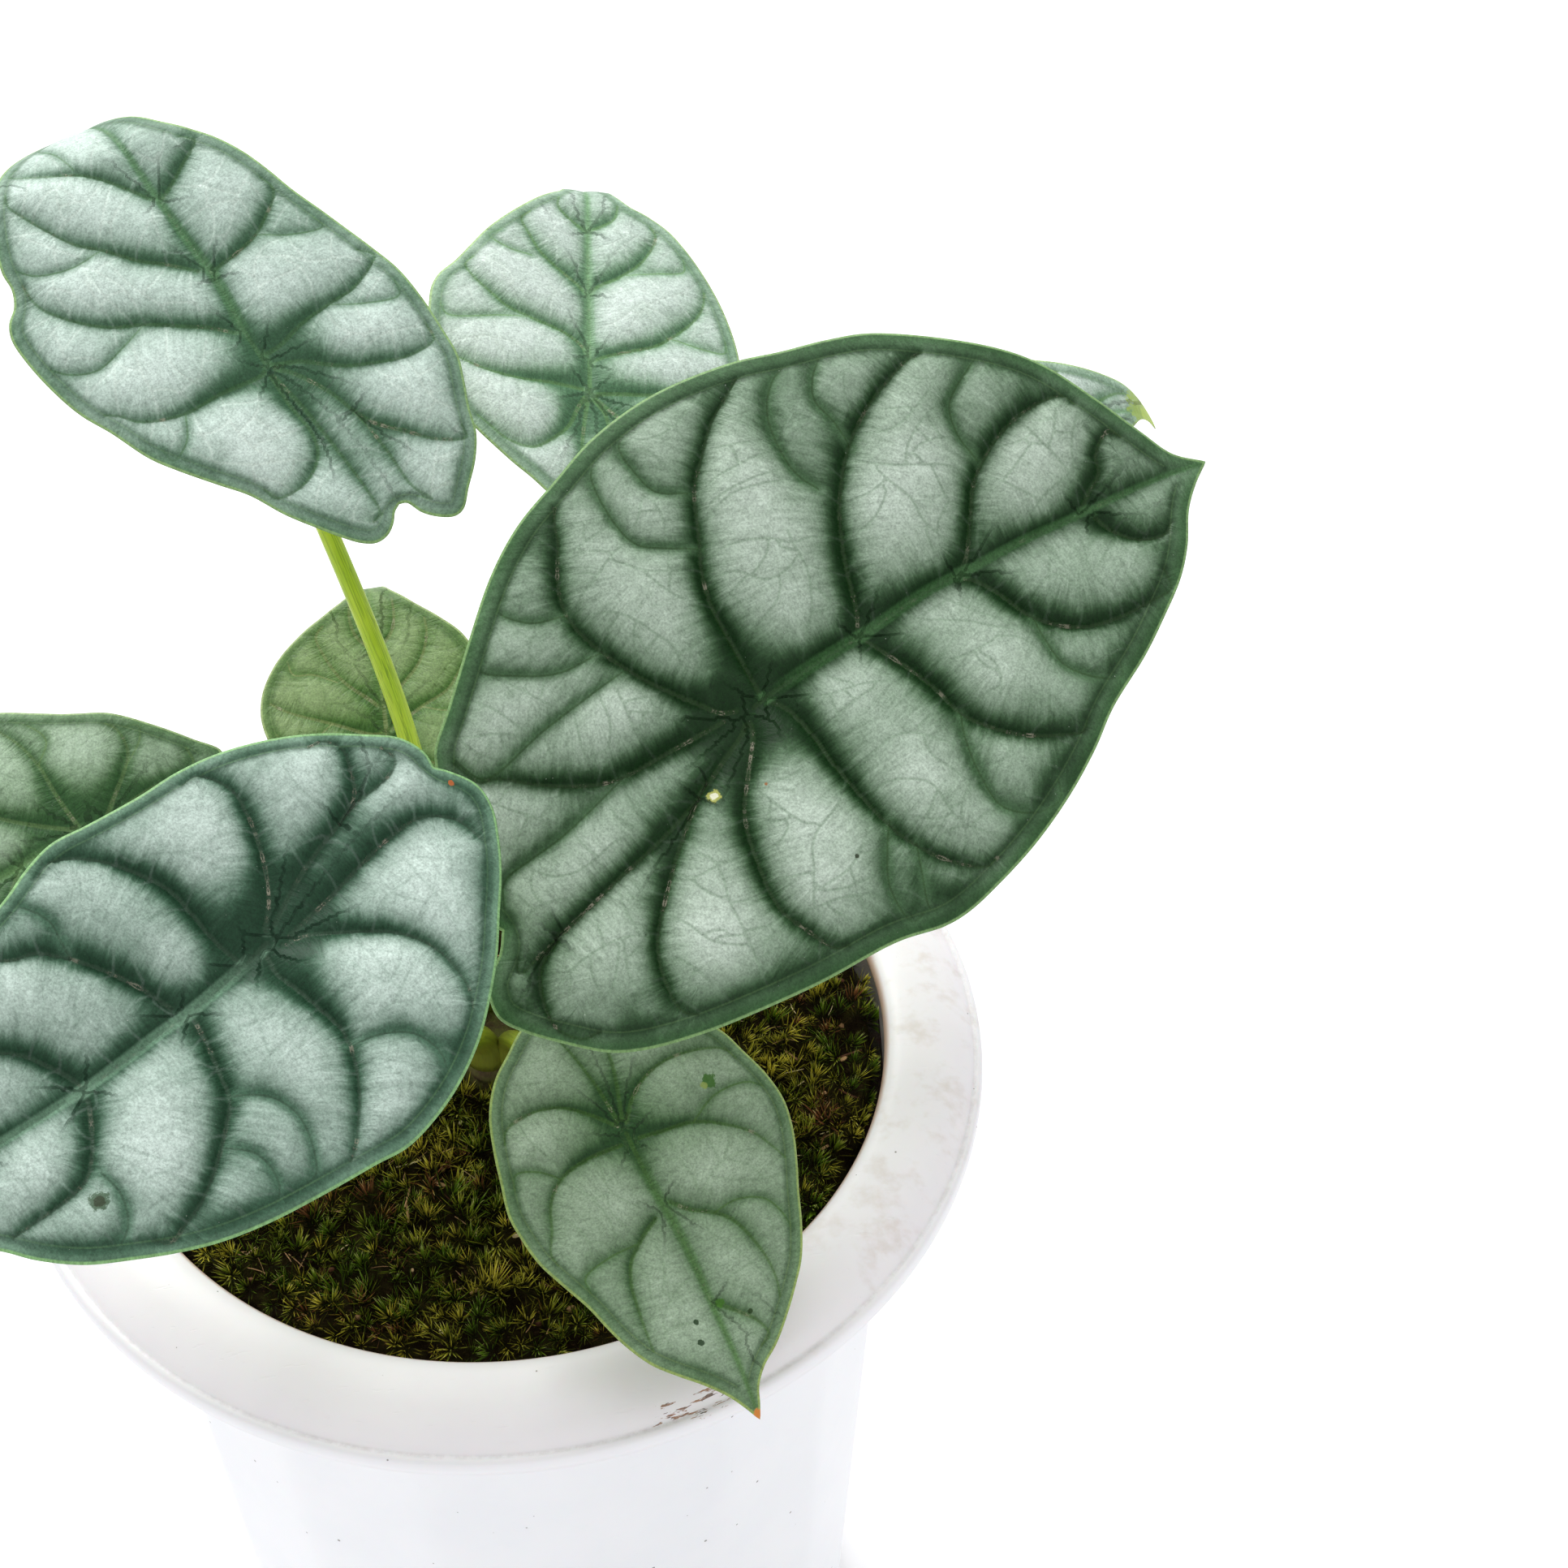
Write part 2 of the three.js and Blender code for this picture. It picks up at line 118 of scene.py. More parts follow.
class Finish:
    """A procedural material."""

    def __init__(self, name):
        self.material = bpy.data.materials.new(name)
        self.material.use_nodes = True
        self.nodes = self.material.node_tree.nodes
        self.links = self.material.node_tree.links
        self.nodes.clear()

    def node(self, kind, settings=None, inputs=None, out=0):
        """Adds a node, sets it up, then fills its inputs with values or links, and gives one output."""
        made = self.nodes.new(kind)
        for name, value in (settings or {}).items():
            setattr(made, name, value)
        for key, value in (inputs or {}).items():
            if isinstance(value, Field):
                self.links.new(value.socket, made.inputs[key])
            elif isinstance(made.inputs[key].default_value, float):
                made.inputs[key].default_value = value
            else:
                made.inputs[key].default_value = tuple(value)
        return Field(self, made.outputs[out])

    def measures(self, *names):
        """Numbers kept at each point of the mesh."""
        return [self.node("ShaderNodeAttribute", {"attribute_name": name}, out=2) for name in names]

    def where(self, name=None):
        """The place on the mesh that a texture starts from, in millimetres."""
        if name:
            return self.node("ShaderNodeAttribute", {"attribute_name": name}, out=1)
        place = self.node("ShaderNodeTexCoord", out=3)
        return self.node("ShaderNodeVectorMath", {"operation": "SCALE"}, {0: place, 3: 1 / MM})

    def place(self, x, y, z=0.0):
        return self.node("ShaderNodeCombineXYZ", inputs={0: x, 1: y, 2: z})

    def vector(self, operation, *values, out=0):
        return self.node("ShaderNodeVectorMath", {"operation": operation}, dict(enumerate(values)), out)

    def parts(self, vector):
        """The x, y and z of a vector."""
        separated = self.node("ShaderNodeSeparateXYZ", inputs={0: vector}).socket.node
        return [Field(self, output) for output in separated.outputs]

    def stretch(self, vector, *factors):
        return self.vector("MULTIPLY", vector, factors)

    def shift(self, vector, *amount):
        return self.vector("ADD", vector, amount)

    def noise(self, vector, size, detail=3.0, rough=0.55):
        """Soft noise from 0 to 1 whose patches are about this many millimetres."""
        inputs = {"Vector": vector, "Scale": 1 / size, "Detail": detail, "Roughness": rough}
        return self.node("ShaderNodeTexNoise", inputs=inputs)

    def cells(self, vector, size, out=0):
        return self.node("ShaderNodeTexVoronoi", inputs={"Vector": vector, "Scale": 1 / size}, out=out)

    def blend(self, share, first, second, mode="MIX"):
        """Mixes two colours."""
        first, second = [c if isinstance(c, Field) else (*c, 1.0) for c in (first, second)]
        settings = {"data_type": "RGBA", "blend_type": mode}
        return self.node("ShaderNodeMix", settings, {0: share, 6: first, 7: second}, 2)

    def layered(self, color, *layers):
        """Lays more colours over a colour, one after another, each with its share."""
        for share, over in layers:
            color = self.blend(share, color, over)
        return color

    def relief(self, height, amount=1.0):
        """A bump from heights in millimetres."""
        return self.node("ShaderNodeBump", inputs={"Strength": amount, "Distance": MM, "Height": height})

    def surface(self, color, roughness, normal=None, plain=None):
        """Ends the material in one surface. Plain values are the same all over."""
        inputs = {"Base Color": color, "Roughness": roughness, **(plain or {})}
        if normal:
            inputs["Normal"] = normal
        shader = self.node("ShaderNodeBsdfPrincipled", inputs=inputs)
        output = self.nodes.new("ShaderNodeOutputMaterial")
        self.links.new(shader.socket, output.inputs["Surface"])
        return self.material


# Shape helpers

def curve_through(points, spacing):
    """Points a set distance apart on a smooth curve through the given ones."""
    points = np.asarray(points, float)
    padded = np.vstack([2 * points[0] - points[1], points, 2 * points[-1] - points[-2]])
    gaps = np.sqrt(np.linalg.norm(np.diff(padded, axis=0), axis=1)) + 1e-9
    knots = np.concatenate([[0], np.cumsum(gaps)])
    pieces = []
    for i in range(1, len(padded) - 2):
        t0, t1, t2, t3 = knots[i - 1:i + 3]
        p0, p1, p2, p3 = padded[i - 1:i + 3]
        t = np.linspace(t1, t2, 13)[:-1, None]
        a1 = ((t1 - t) * p0 + (t - t0) * p1) / (t1 - t0)
        a2 = ((t2 - t) * p1 + (t - t1) * p2) / (t2 - t1)
        a3 = ((t3 - t) * p2 + (t - t2) * p3) / (t3 - t2)
        b1 = ((t2 - t) * a1 + (t - t0) * a2) / (t2 - t0)
        b2 = ((t3 - t) * a2 + (t - t1) * a3) / (t3 - t1)
        pieces.append(((t2 - t) * b1 + (t - t1) * b2) / (t2 - t1))
    return respaced(np.vstack(pieces + [points[-1:]]), spacing)


def lengths_along(points):
    steps = np.linalg.norm(np.diff(points, axis=0), axis=1)
    return np.concatenate([[0], np.cumsum(steps)])


def respaced(points, spacing):
    along = lengths_along(points)
    count = max(2, int(round(along[-1] / spacing)) + 1)
    wanted = np.linspace(0, along[-1], count)
    return np.stack([np.interp(wanted, along, points[:, k]) for k in range(points.shape[1])], axis=1)


def smooth_step(value, start, end):
    t = np.clip((value - start) / (end - start), 0, 1)
    return t * t * (3 - 2 * t)


def unit(vectors):
    return vectors / np.linalg.norm(vectors, axis=-1, keepdims=True)


def closed(loop):
    return np.vstack([loop, loop[:1]])


def full_turn(count):
    return np.linspace(0, 2 * math.pi, count, endpoint=False)


def on_circle(radius, angle, height):
    """Places at a radius and an angle about the pot's axis, at a height."""
    radius, angle, height = np.broadcast_arrays(radius, angle, height)
    return np.stack([radius * np.cos(angle), radius * np.sin(angle), height], axis=-1)


class Lines:
    """Some polylines that a point can be measured against."""

    def __init__(self, lines):
        lines = [np.asarray(line, float) for line in lines]
        self.points = np.vstack(lines)
        self.line = np.concatenate([np.full(len(line), i) for i, line in enumerate(lines)])
        self.along = np.concatenate([lengths_along(line) for line in lines])
        self.total = np.concatenate([np.full(len(line), lengths_along(line)[-1]) for line in lines])
        order = np.arange(len(self.points))
        self.after = np.minimum(order + 1, len(order) - 1)
        self.after = np.where(self.line[self.after] == self.line, self.after, order)
        self.before = np.maximum(order - 1, 0)
        self.before = np.where(self.line[self.before] == self.line, self.before, order)
        self.tree = kdtree.KDTree(len(order))
        for i, (x, y) in enumerate(self.points):
            self.tree.insert((x, y, 0), i)
        self.tree.balance()

    def nearest(self, places):
        """For each place: the distance, how far along the line, the line and its length."""
        index = np.array([self.tree.find((x, y, 0))[1] for x, y in places])
        best = None
        for start, end in ((self.before[index], index), (index, self.after[index])):
            a, b = self.points[start], self.points[end]
            along = b - a
            size = np.maximum((along ** 2).sum(1), 1e-9)
            share = np.clip(((places - a) * along).sum(1) / size, 0, 1)
            away = places - (a + along * share[:, None])
            distance = np.hypot(away[:, 0], away[:, 1])
            found = distance, self.along[start] + share * np.sqrt(size)
            if best:
                closer = distance < best[0]
                found = [np.where(closer, new, old) for new, old in zip(found, best)]
            best = found
        return *best, self.line[index], self.total[index]


def inside(places, loop):
    """Which places lie inside a closed loop."""
    x0, y0 = loop.T
    x1, y1 = np.roll(loop, -1, axis=0).T
    slope = (x1 - x0) / np.where(y1 == y0, 1e-9, y1 - y0)
    crossed = []
    for part in np.array_split(places, max(1, len(places) // 2000)):
        x, y = part[:, :1], part[:, 1:]
        between = (y0 > y) != (y1 > y)
        crossed.append((between & (x < x0 + slope * (y - y0))).sum(1) % 2 == 1)
    return np.concatenate(crossed)


def build(name, places, faces, finish, measures=None, smooth=True):
    """A mesh object from places in millimetres, with numbers or vectors kept at its points."""
    mesh = bpy.data.meshes.new(name)
    faces = [faces] if isinstance(faces, np.ndarray) else faces
    corners = np.concatenate([f.ravel() for f in faces])
    sizes = np.concatenate([np.full(len(f), f.shape[1]) for f in faces])
    mesh.vertices.add(len(places))
    mesh.vertices.foreach_set("co", (np.asarray(places) * MM).astype(np.float32).ravel())
    mesh.loops.add(len(corners))
    mesh.loops.foreach_set("vertex_index", corners.astype(np.int32))
    mesh.polygons.add(len(sizes))
    mesh.polygons.foreach_set("loop_start", np.concatenate([[0], np.cumsum(sizes)[:-1]]).astype(np.int32))
    mesh.polygons.foreach_set("use_smooth", np.full(len(sizes), smooth))
    mesh.update(calc_edges=True)
    for key, values in (measures or {}).items():
        values = np.asarray(values, np.float32)
        if values.ndim == 1:
            mesh.attributes.new(key, "FLOAT", "POINT").data.foreach_set("value", values)
        else:
            mesh.attributes.new(key, "FLOAT_VECTOR", "POINT").data.foreach_set("vector", values.ravel())
    mesh.materials.append(finish)
    piece = bpy.data.objects.new(name, mesh)
    bpy.context.scene.collection.objects.link(piece)
    return piece


def grid_faces(rows, columns, around=False):
    """Four-sided faces of a grid of points, row by row, closed round the columns if asked."""
    row = np.arange(rows - 1)[:, None]
    column = np.arange(columns if around else columns - 1)[None, :]
    following = (column + 1) % columns
    a = row * columns + column
    b = row * columns + following
    return np.stack([a, b, b + columns, a + columns], axis=-1).reshape(-1, 4)


def tube_faces(rows, columns):
    """The faces of a closed tube. The centres of its first and last rows come after all its rows."""
    count = rows * columns
    last = count - columns
    ring = np.arange(columns)
    following = (ring + 1) % columns
    bottom = np.stack([np.full(columns, count), following, ring], axis=1)
    top = np.stack([np.full(columns, count + 1), last + ring, last + following], axis=1)
    return [grid_faces(rows, columns, around=True), np.vstack([bottom, top])]


def repeated(faces, count, points):
    """The faces of many small shapes that follow one pattern."""
    return (faces + points * np.arange(count)[:, None, None]).reshape(-1, 3)


def settle(piece, slot, *nodes):
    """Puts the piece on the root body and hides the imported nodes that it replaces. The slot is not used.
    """
    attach(piece, "root")
    if nodes:
        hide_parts(*nodes)


# Leaves: the navel, where the stalk meets the blade, the midrib's heading and climb, the blade's roll
# about it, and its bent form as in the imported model. stalk is the stalk's width, the bearing of its
# foot and the bow of its middle. spacing is the mesh's, border how far the border vein lies inside the
# margin, depth how far the tissue swells between the veins, reach how soon it does so beside them.
# Margins and veins lie in the blade's plane, +y along the midrib. right and left are the margin from
# the tip to the notch and back, ribs the sunken main veins, veins the lesser ones.

LEAVES = {
    "right_front": dict(
        navel=(52.5, -34, 347.5), heading=20, climb=12, roll=30, form=(0.2, 0.0024, 70, 0.006, 0.002),
        stalk=(5, -30, (3, -6, 0)), spacing=0.62, border=3.3, depth=5.4, reach=4.6, look="deep",
        right=[(0, 99.5), (3, 95), (7, 90.5), (13, 86), (18, 81), (23, 74), (27.5, 67), (33, 56.5),
            (38, 49.5), (43, 41), (47.5, 31), (50.5, 21.5), (52.2, 14), (52.3, 9), (50.5, 0), (50, -16),
            (48.5, -30), (47.2, -38), (44.5, -48), (41.5, -54), (36, -60), (30, -65.5), (26, -67.8),
            (22, -67.5), (19, -66), (16, -62), (12.5, -59.5)],
        left=[(12.5, -59.5), (9, -61.5), (5, -64), (-2, -65), (-12, -61), (-19, -55.5), (-22, -54),
            (-27.5, -48), (-36, -39), (-44.5, -29.5), (-50, -21), (-54, -11), (-57.8, -1), (-59.7, 10),
            (-59.6, 19), (-57.9, 30), (-55.5, 38), (-53.2, 47), (-50.2, 55), (-37.5, 72.6), (-30, 79.6),
            (-20, 85.3), (-10, 90.5), (-4, 94), (0, 99.5)],
        midrib=[(0, 0), (-0.5, 2), (-1.5, 14), (-2, 24), (-3.2, 39), (-3, 48), (-2.8, 59), (-2, 70),
            (-1.5, 80), (-1, 89), (0, 98.6)],
        ribs=[[(-1, 2.3), (-10, 2.2), (-20, 2.5), (-26, 4), (-33, 7.3), (-40, 10.5), (-45, 15), (-50, 20),
             (-53, 25)], [(-2.2, 23.5), (-6, 25.5), (-13.5, 27.7), (-20, 30.2), (-26, 33.5), (-33.7, 40),
             (-39, 48), (-41, 53), (-42.5, 57.5)],
            [(-3, 45), (-4.5, 48), (-11, 53), (-16, 56.5), (-19.5, 61), (-22, 66), (-23.5, 72), (-22.8, 80)],
            [(-2.2, 72), (-4.5, 75), (-7, 79), (-10, 80), (-13, 84.5)],
            [(0, 3), (3, 5), (10, 6.5), (15.5, 6.8), (24, 8), (33, 10), (40, 13.5), (45, 18), (47, 21.2)],
             [(-1.5, 24), (0.5, 25), (7, 28), (14, 30.5), (20, 31.8), (26, 36), (30, 40.5), (33, 46),
             (34.3, 49.5)], [(-2, 46.5), (0, 48.5), (4, 50.5), (10.5, 53), (15, 57), (17.5, 61), (19, 67),
             (19.3, 75), (19, 78.5)], [(0, 74), (4, 75.5), (8, 79), (9.2, 84)], [(-1, -3), (-2, -5.5),
             (-6, -9), (-14, -15), (-24, -20), (-31.2, -21.5), (-37, -20), (-44, -16), (-47, -15)],
            [(-0.5, -6), (-0.5, -16), (-1, -29), (-4, -36), (-8, -42), (-12, -47), (-13, -50)], [(2, -3),
             (3, -4), (6.5, -11), (10, -18), (13, -27), (15.5, -38), (18, -48), (20, -56), (21, -61)],
            [(2, -2), (4, -2.5), (10, -7), (17, -12), (26, -14.5), (35, -15.3), (41, -13), (46, -10.5)],
            [(8, -15), (11, -19), (17, -26), (23, -32), (29, -37), (35, -39.3), (42, -39.5)],
            [(18.5, -51), (22, -57), (27, -59.5), (33, -60), (37, -57)]],
        veins=[[(-0.5, -27), (2, -36), (3.5, -43), (4, -49), (5, -55)],
            [(-30, 5.5), (-33, 0), (-36, -4), (-41, -5.5), (-51, -5)],
            [(-40, 9), (-43, 4), (-48, 2.5), (-54, 2.5)],
            [(-29, 30.5), (-33, 28.5), (-38, 28), (-46, 29.5), (-51, 33.5)],
            [(-33, 40), (-39, 39.5), (-44, 38.5), (-48, 40.5)],
            [(-19.5, 59.5), (-25, 58.5), (-31, 60), (-35, 66), (-36.5, 70)],
            [(-31, -21.5), (-33, -28), (-38, -32)], [(-22, -19.5), (-22.5, -28), (-26, -35), (-30, -40)],
            [(-17, -18), (-15, -35), (-13, -49)], [(31, 10), (35, 7), (42, 3.5), (49, 4)],
            [(37, 12), (42, 10), (49, 8)], [(20, 31.8), (24, 30), (32, 28.5), (39, 29), (43, 34), (43, 39)],
            [(11, 53), (16, 52.5), (22, 53), (27, 57), (29, 61)]],
    ),
    "left_front": dict(
        navel=(-37.5, -77, 346.5), heading=-148.5, climb=-3, roll=-24, form=(0.2, 0.0032, 45, 0.004, 0.001),
        stalk=(5, -120, (-2, -8, 0)), spacing=0.6, border=2.4, depth=4.6, reach=4.4, look="blue",
        right=[(0, 89), (3, 84), (8, 79), (13, 72.5), (18, 63.5), (22.5, 53), (26, 43), (29.5, 32.5),
            (32, 27), (33.7, 21), (33.3, 14), (33, 4), (33.3, -4), (32.5, -12), (30, -21), (26.5, -29),
            (22.5, -35.5), (18.5, -41), (14, -43.2), (11, -43)],
        left=[(11, -43), (9, -45), (4.5, -48), (0, -48), (-6, -45), (-12, -41), (-18, -36), (-24, -31),
            (-29.5, -25.5), (-35, -19), (-39.2, -12), (-42, -5), (-43.5, 2), (-43, 8), (-42.3, 18),
            (-41.2, 28), (-39.5, 36), (-37, 43), (-33.7, 50), (-30, 56.5), (-25, 62), (-20, 66), (-16, 71),
            (-10, 77), (-4, 82.5), (0, 89)],
        midrib=[(0, 0), (-1.5, 6), (-3, 15), (-3.7, 24), (-4.5, 32), (-5, 40), (-5, 55), (-3.8, 70),
            (0, 88)],
        ribs=[[(-2, 1.5), (-6, 2), (-10, 1), (-15, 0), (-21, -0.8), (-26, 0.5), (-31, 3), (-35, 6),
             (-38.5, 9)], [(-4, 18), (-10, 19), (-16, 20.5), (-20, 21.5), (-24, 25), (-28.5, 30), (-32, 35),
             (-34, 40), (-35, 43)],
            [(-5, 40), (-7, 40.5), (-11, 42.5), (-15, 45), (-18.5, 48.5), (-19.5, 53), (-19.7, 59)],
            [(-5, 60), (-8, 62), (-12, 68), (-13, 72)],
            [(0, 6), (4, 7.2), (10, 8), (16, 8.8), (22, 12), (26.5, 15.5), (30, 20), (31, 24)],
            [(-1, 20), (4, 22), (10, 25.5), (15, 29.5), (19, 34), (20, 38)],
            [(-4, 40), (-2, 40.5), (2, 42.5), (6, 45.5), (9, 50)], [(-4.5, 61), (0, 64), (5, 70), (6, 76)],
            [(-2, -2), (-2.5, -6), (-6, -12), (-10, -18), (-15, -22), (-21, -23.5), (-27, -23)],
            [(-1, -4), (1, -14), (3, -22), (4.5, -30), (4.5, -36), (1, -41), (-2, -42)],
            [(2, -3), (6, -10), (9, -17), (11, -23), (12.5, -28), (14, -36), (16, -38)],
            [(2, -1), (6, -4.5), (12, -7.5), (20, -9.8), (26, -10), (31, -6.5)],
            [(11, -23), (14, -28), (18, -30), (22, -31), (25, -29)]],
        veins=[[(-27, 27), (-31, 23.5), (-37, 23.5), (-39.5, 26)],
            [(-20, 21), (-24, 16), (-29, 14.2), (-34, 15), (-39, 17.5)],
            [(-19, 46), (-24, 45.5), (-29, 47.5), (-31, 51)], [(-24, 0), (-25, -5), (-28, -10), (-33, -12)],
            [(14, 29.5), (18, 29.3), (22, 29), (26, 31), (28.5, 34)]],
    ),
    "left_back": dict(
        navel=(-30.5, 51.5, 370.5), heading=119.5, climb=26.5, roll=-9, form=(0.2, 0.0034, 50, 0.05, 0.002),
        stalk=(4.3, 140, (5.5, -3, 0)), spacing=0.6, border=2.2, depth=3.5, reach=4.0, look="plain",
        right=[(0, 72), (3.5, 65), (6, 60.5), (9, 54.5), (12.5, 50), (16, 45.5), (19, 40), (21.2, 34),
            (23, 28), (25.5, 21.5), (27.5, 16), (30, 9), (31.8, 3), (32.5, -4), (32.5, -12), (32.2, -18),
            (30.5, -23), (28.5, -28), (27, -33), (24, -37.5), (20, -41.5), (17, -44.5), (15, -44.8),
            (12.5, -43.5), (10, -41), (8.5, -38), (7, -37.4)],
        left=[(7, -37.4), (5.5, -38.2), (4, -40), (2, -41.3), (-0.5, -41.5), (-3, -40.3), (-5.5, -38),
            (-9, -34), (-13, -29), (-17, -22.5), (-21, -18), (-26, -12), (-29.5, -7), (-33, 1), (-36, 7),
            (-38, 14), (-39.2, 22), (-39.2, 27), (-38, 30), (-35.5, 32.5), (-34, 36), (-33.8, 40),
            (-31.5, 47), (-28, 54), (-22, 61.5), (-15, 66.5), (-7, 70), (0, 72)],
        midrib=[(0, 0), (0, 8), (0.8, 16), (1, 22), (0.5, 30), (0.2, 40), (0, 50), (0, 58), (0, 71)],
        ribs=[[(-1, -1.5), (-2, -2), (-11, -2), (-19, -2.5), (-25, -1), (-28, 0.7), (-30, 3)],
            [(-1.5, 8), (-5, 11), (-10, 14), (-16, 17.5), (-22, 20), (-27, 24), (-31, 29), (-32, 32)],
            [(-1, 23), (-5, 26.5), (-10, 30), (-15, 35), (-19, 38.5), (-22.5, 44), (-25, 49), (-26, 51.5)],
            [(-1, 41), (-4, 45), (-8, 49.5), (-11, 51.8), (-17, 55), (-22, 59)],
            [(1, 1.5), (4, 1.5), (10, 3), (16, 3.6), (22, 4), (26, 5.5), (29.5, 8)],
            [(1, 20), (2, 21.5), (7, 22.3), (12, 23.5), (16, 26), (19, 28.3), (20, 30.5)],
            [(1, 40), (4, 41.5), (8, 44), (11.5, 46), (12.6, 47)],
            [(-0.5, -3), (-0.5, -10), (0.2, -17), (-1, -21), (-4, -24), (-8, -25.7), (-13, -25.5)],
            [(0, -3), (1.5, -12), (2.5, -22), (3.2, -32), (3, -37), (1, -38)],
            [(1, -2), (3, -4), (7, -11), (9.5, -19), (10.5, -28), (11, -36), (13, -40)],
            [(1, -1), (6, -3.5), (12, -8.5), (18, -11.5), (24, -13.5), (30, -13)],
            [(9, -17), (11, -21), (16, -26.5), (20, -30.5), (25, -33)]],
        veins=[[(-11, 53), (-12, 60), (-13, 64)], [(-16, 17.5), (-22, 15), (-29, 13), (-34, 15)],
            [(-15, 35), (-22, 34), (-29, 36)], [(12, 23.5), (17, 20), (24, 18)],
            [(-19, -2.5), (-22, -8), (-26, -10)], [(16, 3.6), (22, 0), (29, -2)]],
    ),
    "middle_back": dict(
        navel=(32.5, 63.5, 345.5), heading=84.5, climb=13, roll=13, form=(0.18, 0.0036, 48, 0.05, 0.002),
        stalk=(4.3, 60, (0, 0, 0)), spacing=0.72, border=2.1, depth=2.5, reach=3.8, look="pale",
        right=[(1, 67), (5.5, 59), (6.5, 55), (9, 50.5), (13, 47.5), (17, 44), (20, 40), (23, 35), (26, 29),
            (28, 24), (30, 17), (31, 11), (31, 4), (29.5, -4), (27, -12), (22, -21), (16, -28), (10, -32),
            (6, -31), (3, -27)],
        left=[(3, -27), (0, -29), (-5, -28), (-9, -25.5), (-12, -23), (-16, -20), (-20.5, -16), (-23.5, -13),
            (-27, -9), (-30.5, -2), (-33, 8), (-33, 17.5), (-32.5, 22), (-31, 25.5), (-28, 29), (-24.5, 34),
            (-21, 39), (-16, 44.5), (-11, 49.2), (-8, 52), (-5, 55), (-3.5, 59), (1, 67)],
        midrib=[(0, 0), (0.2, 20), (0.4, 45), (1, 66)],
        ribs=[[(-1, 0.8), (-8, 1), (-15, 0.8), (-22, 2), (-27, 4)], [(-0.5, 10), (-1.5, 12), (-5, 14.5),
             (-12, 17), (-17, 19), (-21, 22.5), (-24.5, 26), (-25.8, 28.5)],
            [(-0.3, 26), (-2, 28), (-7, 32), (-10, 35), (-12.5, 39.5), (-14, 43)],
            [(0, 43), (-4, 46), (-6, 48.5)], [(1, 0), (6, 0), (12, 0), (18, 1), (25, 4)],
            [(0.5, 8), (2, 9), (8, 11), (14, 13), (19, 17), (22.5, 21), (24, 24.5)],
            [(0.3, 26), (2, 28), (7, 31), (11, 34.5), (13.5, 38.5), (14.5, 42)],
            [(0.3, 43), (4, 45), (6, 46.5)],
            [(-1, -1), (-2.5, -4), (-4.5, -9), (-8, -13), (-12, -15.8), (-17, -15), (-21, -12)],
            [(-0.5, -2), (-1.5, -10), (-2.5, -20), (-4, -24)], [(0.5, -1), (3, -5), (4.5, -12), (8, -24)],
            [(1, -1), (7, -7), (14, -11), (22, -11)]],
        veins=[[(-12, 33), (-17, 34), (-21, 37)], [(-12, 17), (-18, 16), (-29.5, 14.5)],
            [(8, 31), (14, 31.5), (20, 32.5)], [(16, 15), (23, 12.5), (28, 12)]],
    ),
    "low_front": dict(
        navel=(22.5, -58.5, 259), heading=-71, climb=-22, roll=-0.5, form=(0.15, 0.003, 45, 0.01, 0.002),
        stalk=(3.6, -75, (0, -2, 6)), spacing=0.56, border=2.2, depth=2.5, reach=3.4, look="dull",
        right=[(-0.5, 61), (1, 58.5), (3.5, 55), (7.5, 51), (11, 48), (15, 44), (18, 39), (20, 34),
            (21.5, 29.5), (24.5, 23), (26.8, 17.5), (28, 11), (28.3, 7), (27, 0), (26, -5), (24, -12),
            (22, -16), (19, -20), (15, -23.5), (11, -27), (7, -29.5), (4, -29), (0.5, -25)],
        left=[(0.5, -25), (-2, -28.5), (-6, -29.5), (-13, -25.5), (-19, -20.5), (-23.5, -15.5), (-26.5, -11),
            (-28.2, -6.5), (-30.5, 0), (-31.4, 6), (-30.5, 12), (-28.5, 18), (-26, 24), (-23.5, 30.5),
            (-20.5, 36.5), (-17, 41), (-13.5, 45), (-9, 49.5), (-5, 52.5), (-2.6, 55.5), (-1.5, 58.5),
            (-0.5, 61)],
        midrib=[(0, 0), (-0.2, 12), (-1, 21), (-1.2, 30), (-1, 38), (-0.8, 50), (-0.5, 60)],
        ribs=[[(-2, 1.8), (-7, 2.5), (-13, 3.2), (-19, 6.5), (-23, 10), (-25, 13.5)],
            [(-2, 16), (-5, 19), (-9, 21.5), (-11.5, 24), (-13.5, 29), (-14.5, 35), (-14.2, 39)],
            [(-2, 38), (-5, 41), (-7.5, 44), (-8.5, 47.5)],
            [(2, 1.8), (10, 2.2), (16, 4), (20, 8), (22, 13), (24, 17)],
            [(2, 18), (6, 20.5), (10, 24), (12, 28), (13, 34), (13.5, 39)],
            [(-1, -2), (-4, -6), (-8, -9), (-13, -10.5), (-20, -10), (-25, -8)],
            [(1, -2), (5, -6), (10, -9.5), (16, -10.5), (22, -9)],
            [(-0.5, -3), (-3, -12), (-5, -22), (-8, -25)], [(0.5, -3), (1.5, -12), (4, -22), (6, -26)]],
        veins=[[(-9, 21.5), (-14, 21), (-19, 23), (-21, 27)], [(8, 21.5), (14, 22), (20, 24)],
            [(-13, 3.2), (-19, 0), (-26, 0)], [(16, 4), (20, 1), (24, 0)]],
    ),
    "far_left": dict(
        navel=(-74.5, -8, 308.5), heading=-160, climb=-8, roll=-16, form=(0.2, 0.004, 35, 0.006, 0.002),
        stalk=(4.2, 180, (-4, 0, 6)), spacing=0.85, border=2.2, depth=2.0, reach=3.8, look="olive",
        right=[(0, 72.5), (3, 67.5), (8, 62), (18, 52), (28, 36), (33, 21), (33, 11), (30, 4), (27, -1),
